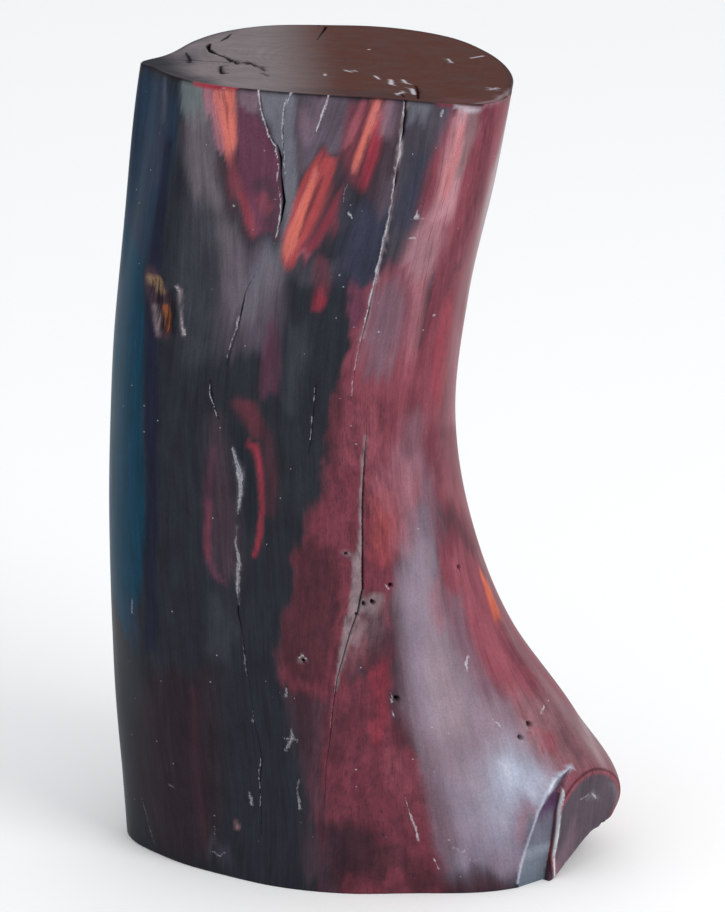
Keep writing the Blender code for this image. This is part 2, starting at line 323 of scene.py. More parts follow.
# A soft edge is half way up at its own line.
AT_EDGE = 0.5


def fade_in(depth, width, start=0.0):
    """From a start at the edge up to 1, by how deep inside its edge each place lies."""
    return np.clip(start + depth / width, 0, 1)


# Wavers are counted in whole cells round a typical radius, and come again after so many cells up the log.
TYPICAL_RADIUS = 100 * MM
CELLS_UP = 97


def waver(angles, along, cell_across, cell_along, seed):
    """Smooth random waver from -1 to 1 all round the log, in cells of that width and length."""
    cells_round = round(2 * math.pi * TYPICAL_RADIUS / cell_across)
    lattice = np.random.default_rng(seed).uniform(-1, 1, (cells_round, CELLS_UP))
    i, j = angles / 360 * cells_round, along / cell_along
    i0, j0 = np.floor(i).astype(int), np.floor(j).astype(int)
    s, t = i - i0, j - j0
    s, t = s * s * (3 - 2 * s), t * t * (3 - 2 * t)
    here, beside = i0 % cells_round, (i0 + 1) % cells_round
    level, above = j0 % CELLS_UP, (j0 + 1) % CELLS_UP
    low = lattice[here, level] * (1 - s) + lattice[beside, level] * s
    high = lattice[here, above] * (1 - s) + lattice[beside, above] * s
    return low * (1 - t) + high * t


def wavers(angles, along, *layers):
    """Sum of wavers, each of a cell's width and length in millimetres, a seed and how strong it is."""
    total = 0
    for across, length, seed, strength in layers:
        total = total + waver(angles, along, across * MM, length * MM, seed) * strength
    return total


# The split beside the root, level by level in millimetres: height, then x and y of the left lip, right lip
# and valley. The valley lies behind the right lip, so the broad left wall is what shows.
ROOT_SPLIT = (
    (-6, (82.5, -87), (100.6, -77), (97.6, -73.6)),
    (15, (86.5, -86.5), (103.7, -78), (100.8, -74.4)),
    (29, (90.3, -85.7), (105.9, -78.2), (103, -74.4)),
    (43, (94.9, -83.7), (107.8, -78.5), (105, -74.6)),
    (53, (100.3, -79.8), (108.4, -77.2), (106.6, -73.8)),
    (59, (104.3, -76.2), (110.6, -73.6), (109, -71)),
    (64, (112.8, -69.4), (113.4, -69), (112.9, -68.2)),
)
SPLIT_TOP = ROOT_SPLIT[-1][0] * MM
WALL_SHARE = 0.8
LEAST_OPENING = 0.01


def split_lips(heights):
    """Left lip, right lip and valley of the split as points at each height."""
    levels = np.array([row[0] for row in ROOT_SPLIT]) * MM
    lines = [np.array([row[k] for row in ROOT_SPLIT]) * MM for k in (1, 2, 3)]
    return [np.stack([np.interp(heights, levels, line[:, c]) for c in (0, 1)], 1) for line in lines]


def lip_angles(heights):
    """Angles of the split's two lips at each height."""
    return [bearing_of(*lip.T, heights) for lip in split_lips(heights)[:2]]


def open_split(places, angles, heights):
    """Sinks the skin between the split's lips to its two walls, and returns the share from lip to lip."""
    left, right, valley = split_lips(heights)
    start, end = lip_angles(heights)
    share = (angles - start) / np.maximum(end - start, LEAST_OPENING)
    inside = (share > 0) & (share < 1) & (heights < SPLIT_TOP)
    down = np.clip(share / WALL_SHARE, 0, 1)[:, None]
    up = np.clip((share - WALL_SHARE) / (1 - WALL_SHARE), 0, 1)[:, None]
    walls = np.where(up > 0, valley + (right - valley) * up, left + (valley - left) * down)
    places[inside, :2] = walls[inside]
    return np.where(inside, share, -1)


# The drying checks, at the pixels that they are seen at, with the half width of their opening. The two that
# the photo doesn't show are placed by angle and height.
LONG_CHECK = (
    (405, 100, 0.3), (406, 114, 0.7), (404, 132, 0.7), (401, 144, 0.1), (398, 166, 0.15), (396, 182, 0.5),
    (394, 194, 0.2), (391, 212, 0.1), (385, 240, 0.1), (378, 270, 0.15), (372, 298, 0.2), (368, 316, 0.4),
    (362, 340, 0.15), (356, 364, 0.1), (350, 408, 0.1),
)
KNEE_CHECK = (
    (367, 428, 0.1), (365, 460, 0.4), (363, 500, 0.5), (363, 544, 0.5), (363, 588, 0.55), (358, 612, 0.45),
    (350, 634, 0.3), (344, 655, 0.3), (337, 680, 0.25), (332, 716, 0.2), (326, 766, 0.15), (324, 810, 0.1),
)
UPPER_CHECK = (
    (260, 90, 0.2), (263, 114, 0.15), (271, 138, 0.15), (278, 147, 0.3), (281, 158, 0.7), (281, 174, 0.3),
    (284, 202, 0.9), (281, 220, 0.5), (277, 232, 0.06), (262, 262, 0.02), (246, 290, 0.15),
    (242, 308, 0.45), (238, 328, 0.15), (231, 350, 0.15), (226, 366, 0.1),
)
TWIN_CHECK = ((290, 93, 0.15), (285, 106, 0.15), (283, 122, 0.15), (283, 142, 0.15), (283, 158, 0.2))
SHORT_CHECK = ((329, 94, 0.1), (324, 112, 0.15), (317, 132, 0.1))
SIDE_CHECK = (
    (210, 380, 0.15), (211, 392, 0.3), (217, 415, 0.1), (224, 432, 0.02), (232, 449, 0.05),
    (238, 466, 0.08), (242, 490, 0.05), (238, 520, 0.03), (237, 545, 0.05), (239, 575, 0.08),
    (238, 612, 0.35), (243, 636, 0.15), (245, 656, 0.2), (249, 680, 0.1), (254, 722, 0.1), (262, 758, 0.2),
    (260, 782, 0.2), (261, 812, 0.15), (261, 835, 0.1),
)
MIDDLE_CHECK = ((316, 386, 0.15), (314, 410, 0.2), (311, 440, 0.2), (308, 456, 0.1))
SEEN_CHECKS = (LONG_CHECK, KNEE_CHECK, UPPER_CHECK, TWIN_CHECK, SHORT_CHECK, SIDE_CHECK, MIDDLE_CHECK)
BACK_CHECK = (
    (92.5, 457, 0.9), (94, 420, 0.7), (91.5, 370, 0.8), (93, 320, 0.7), (90, 262, 0.7), (91.5, 215, 0.5),
    (89, 160, 0.2),
)
LEE_CHECK = (
    (391, 455, 0.6), (393, 410, 0.5), (391, 350, 0.6), (393, 290, 0.5), (389, 225, 0.4), (391, 176, 0.2),
)
CHECK_DEPTH = 3.2 * MM
checks = [on_skin(marks) for marks in SEEN_CHECKS] + [by_angle(marks) for marks in (BACK_CHECK, LEE_CHECK)]

# Borer holes with their radii, and a few more on the sides that the photo doesn't show.
SEEN_HOLES = (
    (459, 567, 1.3), (391, 585, 1.3), (373, 602, 1.3), (364, 604, 1.0), (357, 614, 1.0), (346, 553.5, 0.9),
    (397, 698, 1.4), (529.6, 724, 1.6), (520.6, 737.4, 1.4), (303.5, 660.5, 0.9),
)
HIDDEN_HOLES = ((64, 128, 1.1), (118, 301, 1.0), (123, 292, 1.1), (176, 96, 1.0))
HOLE_DEPTH = 5 * MM
holes = np.concatenate([on_skin(SEEN_HOLES), by_angle(HIDDEN_HOLES)])

# The knot pit on the left front, a shallow crumbled scoop.
KNOT_PIT = on_skin(((157, 284, 5.2), (163, 306, 6.0), (165, 328, 4.6)))
KNOT_DEPTH = 3.0 * MM

# Checks across the upper face, from the rim inwards and in a broken ring near its left end.
TOP_CHECKS = [
    on_top_face(marks)
    for marks in (
        ((418, 99, 0.5), (418, 92, 0.6), (416, 86, 0.3)),
        ((404, 97, 0.4), (401, 94, 0.2)),
        ((210, 43.5, 0.8), (208, 46, 1.4), (209, 49, 1.0), (212, 52, 1.8), (216, 54, 1.0)),
        ((216, 54, 0.8), (222, 56, 1.0), (227, 58, 0.8), (231, 60.5, 1.6), (236, 62, 1.9), (240, 64, 0.8)),
        ((246, 61, 0.3), (251, 63, 1.0), (256, 66, 1.2), (262, 68, 0.8), (265, 71, 0.5)),
        ((221, 66, 0.7), (221, 70, 1.0), (223, 73.5, 1.6), (229, 73, 0.4)),
        ((186, 53, 0.5), (189, 58, 0.8), (190, 63, 0.6)),
        ((178, 60, 0.3), (196, 60.5, 0.5), (214, 61.5, 0.4), (233, 63, 0.4)),
        ((262, 73, 0.4), (268, 76, 0.6)),
        ((221, 41, 0.5), (226, 38, 1.0), (231, 34, 0.4)),
        ((326, 27, 0.9), (322, 33, 0.5), (317, 40, 0.2)),
    )
]
TOP_CHECK_DEPTH = 2.0 * MM

# Small scars and blobs of dried wax that catch the light, each a short stroke at its pixels.
WAX_MARKS = (
    ((418, 210, 0.3), (417, 217, 1.3)),
    ((411, 219, 0.4), (424, 219, 0.4)),
    ((410, 238, 0.6), (416, 238, 0.7)),
    ((349, 213, 0.7), (352, 218, 0.6)),
    ((347, 184, 0.3), (343, 202, 0.3)),
    ((234, 206, 0.7),),
    ((265, 151, 0.5),),
    ((275, 199, 0.5),),
    ((436, 148, 0.6),),
    ((442, 110, 0.6), (441, 117, 0.4)),
    ((434, 315, 1.0),),
    ((379, 332, 0.7),),
    ((340, 275, 0.6),),
    ((336, 318, 0.5),),
    ((356, 444, 0.6),),
    ((468, 656, 0.6), (466, 664, 1.2), (468, 672, 0.5)),
    ((496, 722, 0.4), (501, 726, 0.6)),
    ((544, 706, 0.7), (540, 714, 0.4)),
    ((405, 798, 0.35), (411, 816, 0.4), (416, 830, 0.8), (419, 842, 0.4)),
    ((433, 858, 0.4), (439, 869, 0.5)),
    ((592, 793, 0.6), (596, 798, 0.9)),
    ((580, 800, 0.4), (588, 795, 0.6)),
)
# Broader, duller scuffs from handling, most of them near the foot.
SCUFFS = (
    ((132, 598, 0.6), (132, 612, 1.2)),
    ((499, 762, 1.2), (507, 768, 2.0), (510, 778, 1.4)),
    ((496, 768, 0.7), (500, 773, 0.6)),
    ((437, 768, 0.5), (434, 773, 0.9)),
    ((450, 846, 0.5), (462, 852, 0.9), (470, 848, 0.4)),
    ((464, 856, 0.4), (474, 862, 0.8), (479, 858, 0.4)),
    ((347, 806, 0.8),),
    ((168, 784, 0.6), (173, 787, 0.9)),
    ((142, 798, 0.5), (147, 818, 0.6), (154, 842, 0.5)),
    ((215, 825, 0.35), (214, 844, 0.35)),
    ((213, 852, 1.0), (220, 856, 1.0), (226, 852, 0.6)),
    ((249, 793, 0.9), (252, 804, 1.5)),
    ((286, 688, 0.8), (286, 696, 1.1)),
    ((291, 728, 0.6), (292, 738, 1.4), (286, 750, 1.0)),
    ((284, 738, 0.8), (297, 740, 0.9)),
    ((299, 780, 0.9), (297, 790, 0.7), (300, 808, 1.5)),
    ((253, 712, 0.4), (253, 722, 0.7)),
    ((301, 822, 0.6),),
    ((176, 287, 0.9), (179, 292, 0.7)),
    ((181, 318, 0.6), (184, 334, 1.3)),
)
# More of the same on the sides that the photo doesn't show, by angle and height.
HIDDEN_MARKS = (
    ((72, 391, 0.3), (74, 372, 0.4)),
    ((104, 352, 0.3), (106, 338, 0.5), (106, 330, 0.3)),
    ((113, 214, 0.7),),
    ((84, 120, 0.3), (86, 98, 0.4)),
    ((128, 141, 0.5), (129, 132, 0.7)),
    ((143, 388, 0.6),),
    ((158, 226, 0.3), (157, 204, 0.4)),
    ((372, 352, 0.3), (374, 330, 0.4)),
    ((379, 262, 0.6),),
    ((368, 212, 0.4), (369, 204, 0.6)),
    ((384, 94, 0.3), (386, 72, 0.4)),
)
wax_strokes = [on_skin(marks) for marks in WAX_MARKS] + [by_angle(marks) for marks in HIDDEN_MARKS]
scuff_strokes = [on_skin(marks) for marks in SCUFFS]
# Blobs of wax on the upper face.
TOP_WAX = (
    ((325, 75, 1.1),),
    ((391, 80, 0.9), (391, 84, 1.3)),
    ((403, 80, 0.9), (406, 83, 0.7)),
    ((375, 76, 0.8), (379, 79, 0.6)),
    ((369, 49.5, 0.9),),
    ((397, 94, 1.1), (404, 92, 0.5)),
    ((412, 89, 1.0), (414, 94, 1.1)),
    ((489, 90, 0.5), (497, 88, 0.8)),
    ((471, 58, 0.6), (483, 56, 0.8)),
    ((448, 59, 0.6), (452, 63, 0.5)),
    ((345, 71, 0.4), (356, 71, 0.5)),
)
top_wax_strokes = [on_top_face(marks) for marks in TOP_WAX]

# The mesh is a grid of angle and part, closer on the front than on the back, and made finer around each
# small thing in rounds, by how near it is on the front and on the back. Its parts are stretched while it
# is laid flat, which keeps its faces about square, and points near the split's lips are moved onto them.
FRONT = (186, 364)
FRONT_STEP = 0.84
BACK_STEP = 2.4
SIDE_ROWS = 166
TOP_RINGS = 22
FOOT_RINGS = 5
RIM_STEPS = np.array([0.1, 0.35, 0.7, 1.2]) * MM / HEIGHT
SIDE_GAP = 0.004
TOP_STEPS = (1.012, 1.03)
NEAR_SIZES = ((1.5 * MM, 2.8 * MM), (0.3 * MM, 1.2 * MM), (-FAR, 0.5 * MM))
LIP_NEAR, KNOT_INSET, CUT_EDGE = 0.8 * MM, 1 * MM, 3 * MM
PART_STRETCH = 400
LIP_CATCH = 0.11


def nearness(angles, parts):
    """How far each place lies inside the nearest small thing, for choosing where the mesh is made finer."""
    places, heights = surface(angles, parts)
    skin = np.stack([angles, heights], 1)
    reach = cut_radius(angles, heights) * math.pi / 180
    near = np.full(len(angles), -FAR)
    for stroke in (*checks, *wax_strokes, *scuff_strokes, *holes[:, None]):
        near = np.maximum(near, depth_within(skin, stroke, reach))
    near = np.maximum(near, depth_within(skin, KNOT_PIT, reach) - KNOT_INSET)
    lip = np.min([abs(angles - edge) for edge in lip_angles(heights)], axis=0) * reach
    near = np.maximum(near, np.where(heights < SPLIT_TOP, LIP_NEAR - lip, -FAR))
    sawn_off = skin_radius(angles, heights) - cut_radius(angles, heights)
    near = np.maximum(near, np.where((sawn_off > 0) & (sawn_off < CUT_EDGE), 0, -FAR))
    near[(parts < 0) | (parts > 1)] = -FAR
    for stroke in (*TOP_CHECKS, *top_wax_strokes):
        near = np.maximum(near, np.where(parts >= 1, depth_within(places[:, :2], stroke), -FAR))
    return near


def column_angles():
    """Angles of the grid's columns from the seam round to the seam again."""
    before, after = FRONT[0] - SEAM, SEAM + 360 - FRONT[1]
    return np.concatenate(
        [
            np.linspace(SEAM, FRONT[0], round(before / BACK_STEP) + 1)[:-1],
            np.linspace(FRONT[0], FRONT[1], round((FRONT[1] - FRONT[0]) / FRONT_STEP) + 1)[:-1],
            np.linspace(FRONT[1], SEAM + 360, round(after / BACK_STEP) + 1),
        ]
    )


def row_parts():
    """Parts of the grid's rows from the middle of the foot to the middle of the upper face."""
    side = np.linspace(RIM_STEPS[-1] + SIDE_GAP, 1 - RIM_STEPS[-1] - SIDE_GAP, SIDE_ROWS)
    top = 1 + np.linspace(0, 1, TOP_RINGS + 1)[1:]
    foot = np.linspace(-1, 0, FOOT_RINGS + 1)
    return np.concatenate([foot, RIM_STEPS, side, 1 - RIM_STEPS[::-1], [1], TOP_STEPS, top])


shape = bmesh.new()
grid = [[shape.verts.new((a, p * PART_STRETCH, 0)) for a in column_angles()] for p in row_parts()]
for low, high in zip(grid, grid[1:]):
    for i in range(len(low) - 1):
        shape.faces.new((low[i], low[i + 1], high[i + 1], high[i]))
for front_margin, back_margin in NEAR_SIZES:
    middles = np.array([face.calc_center_median()[:2] for face in shape.faces])
    at_back = (middles[:, 0] < FRONT[0]) | (middles[:, 0] > FRONT[1])
    margin = np.where(at_back, back_margin, front_margin)
    is_near = nearness(middles[:, 0], middles[:, 1] / PART_STRETCH) > -margin
    chosen = {edge for face, near in zip(shape.faces, is_near) if near for edge in face.edges}
    bmesh.ops.subdivide_edges(shape, edges=list(chosen), cuts=1, use_grid_fill=True)
shape.verts.index_update()
flat = np.array([vert.co[:2] for vert in shape.verts])
corners = [[vert.index for vert in face.verts] for face in shape.faces]
shape.free()
angles, parts = flat[:, 0].astype(float), flat[:, 1].astype(float) / PART_STRETCH

# The seam's two sides and the middles of both ends are each one point.
CLOSE = 0.001
first_at = {}
same_as = np.arange(len(angles))
at_seam = (angles < SEAM + CLOSE) | (angles > SEAM + 360 - CLOSE)
at_top_middle, at_foot_middle = parts > 2 - CLOSE, parts < CLOSE - 1
for i in np.flatnonzero(at_seam | at_top_middle | at_foot_middle):
    key = "top" if at_top_middle[i] else "foot" if at_foot_middle[i] else round(parts[i], 5)
    same_as[i] = first_at.setdefault(key, i)

_, heights = surface(angles, parts)
for lip in lip_angles(heights):
    caught = (abs(angles - lip) < LIP_CATCH) & (heights < SPLIT_TOP) & (parts >= 0)
    angles = np.where(caught, lip, angles)
places, heights = surface(angles, parts)
split_share = open_split(places, angles, heights)
reach = cut_radius(angles, heights) * math.pi / 180
skin = np.stack([angles, heights], 1)
on_side = (parts >= 0) & (parts <= 1)
on_top = parts >= 1
outward = np.stack([np.cos(np.radians(angles)), np.sin(np.radians(angles)), np.zeros(len(angles))], 1)

# The wood's fibres run with its checks, so those lines say how the grain leans at every place on the skin.
FIBRE_LINES = (
    ((181, 85), (172, 200), (165, 300), (160, 400), (160, 500), (165, 620), (172, 740), (185, 860)),
    (
        (215, 90), (232, 190), (238, 300), (226, 370), (222, 440), (228, 520), (236, 620), (244, 720),
        (252, 850),
    ),
    (
        (372, 98), (350, 140), (325, 190), (300, 240), (285, 290), (280, 380), (280, 460), (282, 560),
        (286, 680), (292, 770), (300, 850),
    ),
    (
        (405, 100), (395, 190), (382, 250), (368, 316), (355, 380), (358, 440), (363, 500), (362, 590),
        (345, 650), (335, 720), (326, 800), (322, 880),
    ),
    (
        (457, 108), (446, 180), (428, 240), (414, 310), (404, 380), (398, 450), (405, 520), (412, 600),
        (425, 700), (440, 800), (455, 890),
    ),
    (
        (495, 100), (478, 200), (462, 300), (452, 380), (452, 440), (462, 520), (485, 620), (520, 700),
        (548, 780), (556, 870),
    ),
)
# Between these angles, round the back, they run straight up.
STRAIGHT_FIBRES = (SEAM, 190, 352, SEAM + 360)


def with_fibres(angles, heights):
    """The angle that each place's fibre has on average, so that a pattern laid by it follows the fibres."""
    at_height, level = [np.full(len(angles), float(a)) for a in STRAIGHT_FIBRES], list(STRAIGHT_FIBRES)
    for line in FIBRE_LINES:
        marks = on_skin(line)[::-1]
        at_height.append(np.interp(heights, marks[:, 1], marks[:, 0]))
        level.append(marks[:, 0].mean())
    order = np.argsort(level)
    at_height, level = np.array(at_height)[order], np.array(level)[order]
    after = np.clip((at_height <= angles).sum(axis=0), 1, len(level) - 1)
    rows = np.arange(len(angles))
    start, end = at_height[after - 1, rows], at_height[after, rows]
    share = np.clip((angles - start) / (end - start), 0, 1)
    return level[after - 1] * (1 - share) + level[after] * share


fibre_angles = with_fibres(angles, heights)

# Each check, hole and pit sinks the surface over the width of its wall. Checks and holes are also kept as a
# hollow with painted shade, dark inside and half dark at its lip.
CHECK_WALL, HOLE_WALL, KNOT_WALL, TOP_CHECK_WALL = 0.5 * MM, 0.35 * MM, 2.5 * MM, 0.6 * MM
CHECK_LIP, HOLE_LIP, TOP_CHECK_LIP = 0.25, 0.3, 0.5
EVEN_CRUMBLE = 0.75
sink = np.zeros(len(angles))
hollow_shade = np.zeros(len(angles))
for stroke in checks:
    inside = depth_within(skin, stroke, reach)
    sink = np.maximum(sink, fade_in(inside, CHECK_WALL) * CHECK_DEPTH * on_side)
    hollow_shade = np.maximum(hollow_shade, fade_in(inside, CHECK_WALL, CHECK_LIP) * on_side)
for hole in holes:
    inside = depth_within(skin, hole[None], reach)
    sink = np.maximum(sink, fade_in(inside, HOLE_WALL) * HOLE_DEPTH * on_side)
    hollow_shade = np.maximum(hollow_shade, fade_in(inside, CHECK_WALL, HOLE_LIP) * on_side)
in_knot = depth_within(skin, KNOT_PIT, reach) + wavers(angles, heights, (3, 5, 5, 1.2)) * MM
crumbs = EVEN_CRUMBLE + wavers(angles, heights, (1.5, 14, 6, 0.35))
sink = np.maximum(sink, fade_in(in_knot, KNOT_WALL) * on_side * KNOT_DEPTH * crumbs)
places -= outward * sink[:, None]
for stroke in TOP_CHECKS:
    inside = depth_within(places[:, :2], stroke)
    places[:, 2] -= fade_in(inside, TOP_CHECK_WALL) * TOP_CHECK_DEPTH * on_top
    hollow_shade = np.maximum(hollow_shade, fade_in(inside, TOP_CHECK_WALL, TOP_CHECK_LIP) * on_top)
# The solid has facets where this skin is round, so a point a hair outside the solid's box is drawn back.
places = np.clip(places, *np.array(cad_bounds))

# The log's colours, with painted light and shade among them. Under the polish the heartwood runs from blue
# black through plum to crimson, with orange flames. The pale pinks, greys, lilacs and blue greys are mostly
# painted sheen and reflection on the polish, and wax has dried pale in the checks.
INK = "#1d2029"
CHARCOAL = "#292b32"
ASH = "#3d3f46"
INDIGO = "#1f2233"
NAVY = "#24364a"
TEAL = "#0e394e"
SLATE = "#37394a"
STORM = "#434049"
GREY_GREEN = "#6c7375"
WARM_GREY = "#665d65"
STEEL = "#6b6b75"
HAZE = "#5b515d"
PLUM = "#5f394c"
PLUM_BLACK = "#45363f"
MAROON = "#30242b"
DEEP_RED = "#4e2c34"
WINE = "#713844"
CRIMSON = "#80434f"
BRIGHT_RED = "#a03646"
ROSE = "#96535f"
DUSTY_ROSE = "#9a6a76"
SALMON = "#c8797b"
CORAL = "#c8706a"
EMBER = "#cf6448"
FLAME_RED = "#9c4447"
PINK = "#b5868f"
MAUVE = "#75606d"
LILAC = "#8f7c89"
LAVENDER = "#85798a"
BLUE_GREY = "#a0a4b6"
PALE_BLUE = "#b4b8ca"
PINK_GREY = "#ab999e"
TAUPE = "#86696e"
DUST = "#928388"
ASHEN = "#85848c"
TAN = "#8a7059"
RUST = "#a8643c"
BONE = "#c2c0c9"
# Painted shade in the hollows of checks, holes and the split, and between the knot's broken fibres.
HOLLOW_SHADE = "#08080b"
# Painted shade along the eased rim of the upper face.
RIM_SHADE = "#1f151b"
GREY_BROWN = "#766c6e"
RED_BROWN = "#4e281f"
END_GREY = "#504953"
# The white of the painted highlight on the split's lips.
LIP_HIGHLIGHT = "#e4e7ed"


def linear(colour):
    """Linear RGB of an sRGB hex colour."""
    levels = [int(colour[i : i + 2], 16) / 255 for i in (1, 3, 5)]
    return np.array([v / 12.92 if v <= 0.04045 else ((v + 0.055) / 1.055) ** 2.4 for v in levels])


# Brushes are laid one over the other. Each is a colour, its strength, the width of its soft edge in
# millimetres, and marks. Marks with half widths are a stroke, and marks without are the outline of a patch.
# The left side, turned from the light: blue and blue-green at the outline, partly painted reflection, ink
# along the outline and maroon low down as painted shade, and charcoal wood under a painted grey sheen.
LEFT_SIDE = (
    (NAVY, 0.9, 9, (
        (134, 60), (181, 80), (177, 150), (164, 215), (152, 262), (108, 262), (112, 180), (122, 110),
    )),
    (CHARCOAL, 0.7, 6, ((142, 66, 3), (160, 74, 4), (178, 84, 3))),
    (SLATE, 0.6, 7, ((164, 96, 4), (161, 140, 6), (156, 176, 5))),
    (STEEL, 0.3, 4, ((163, 84, 1.2), (165, 104, 1.8), (164, 124, 1.2))),
    (TEAL, 1.0, 8, (
        (112, 206), (128, 226), (144, 262), (147, 330), (147, 520), (145, 570), (138, 602), (124, 632),
        (111, 580), (99, 490), (101, 400), (99, 330), (106, 280),
    )),
    (INK, 0.75, 14, (
        (132, 70, 3), (117, 180, 4), (108, 300, 5), (106, 420, 6), (107, 560, 6), (113, 700, 5),
        (122, 850, 4),
    )),
    (NAVY, 0.6, 9, ((128, 600, 6), (131, 624, 7), (132, 646, 4))),
    (INDIGO, 0.95, 4.5, (
        (170, 140, 3), (164, 190, 4), (158, 240, 4.5), (154, 300, 5), (153, 400, 5), (153, 500, 5),
        (152, 600, 5), (150, 650, 4),
    )),
    (GREY_GREEN, 0.95, 4, ((191, 86, 7), (193, 102, 8), (196, 114, 7))),
    (WARM_GREY, 0.9, 9, ((196, 124, 7.5), (200, 150, 8.5), (205, 178, 8), (210, 202, 6))),
    (WARM_GREY, 0.35, 12, ((206, 196, 6), (212, 226, 7), (220, 256, 6), (228, 284, 5))),
    (HAZE, 0.6, 14, ((226, 300, 6), (228, 322, 8), (230, 346, 5))),
    (WARM_GREY, 0.4, 8, ((214, 196, 3), (224, 222, 4), (232, 246, 5))),
    (ASH, 0.6, 14, ((194, 210, 8), (197, 250, 10), (196, 300, 11), (202, 352, 8))),
    (ASH, 0.5, 9, ((214, 594, 4), (224, 626, 7), (216, 652, 5))),
    (HAZE, 0.75, 14, ((226, 246), (262, 240), (286, 262), (284, 316), (268, 350), (252, 352), (232, 322))),
    (WARM_GREY, 0.55, 13, ((228, 236, 4), (236, 264, 6), (243, 292, 6), (240, 316, 4))),
    (STEEL, 0.65, 13, ((288, 232, 3), (276, 256, 6), (266, 272, 7), (255, 291, 7), (248, 308, 4))),
    (WARM_GREY, 0.5, 9, ((272, 268, 4), (268, 290, 5), (262, 312, 4))),
    (PLUM, 0.65, 6, ((272, 326, 3), (271, 360, 4.5), (268, 392, 4))),
    (ASH, 0.6, 9, ((296, 326, 4), (298, 352, 6), (290, 400, 5))),
    (MAROON, 0.7, 16, ((146, 676), (214, 664), (222, 760), (214, 862), (166, 856), (136, 800), (136, 726))),
    (DEEP_RED, 0.3, 8, ((194, 690, 3), (196, 740, 4), (197, 790, 4), (204, 836, 2))),
    (STORM, 0.5, 9, ((214, 848, 5), (226, 858, 5))),
    (PLUM_BLACK, 0.5, 8, ((300, 716, 4), (304, 746, 5), (312, 790, 5), (312, 866, 8))),
)
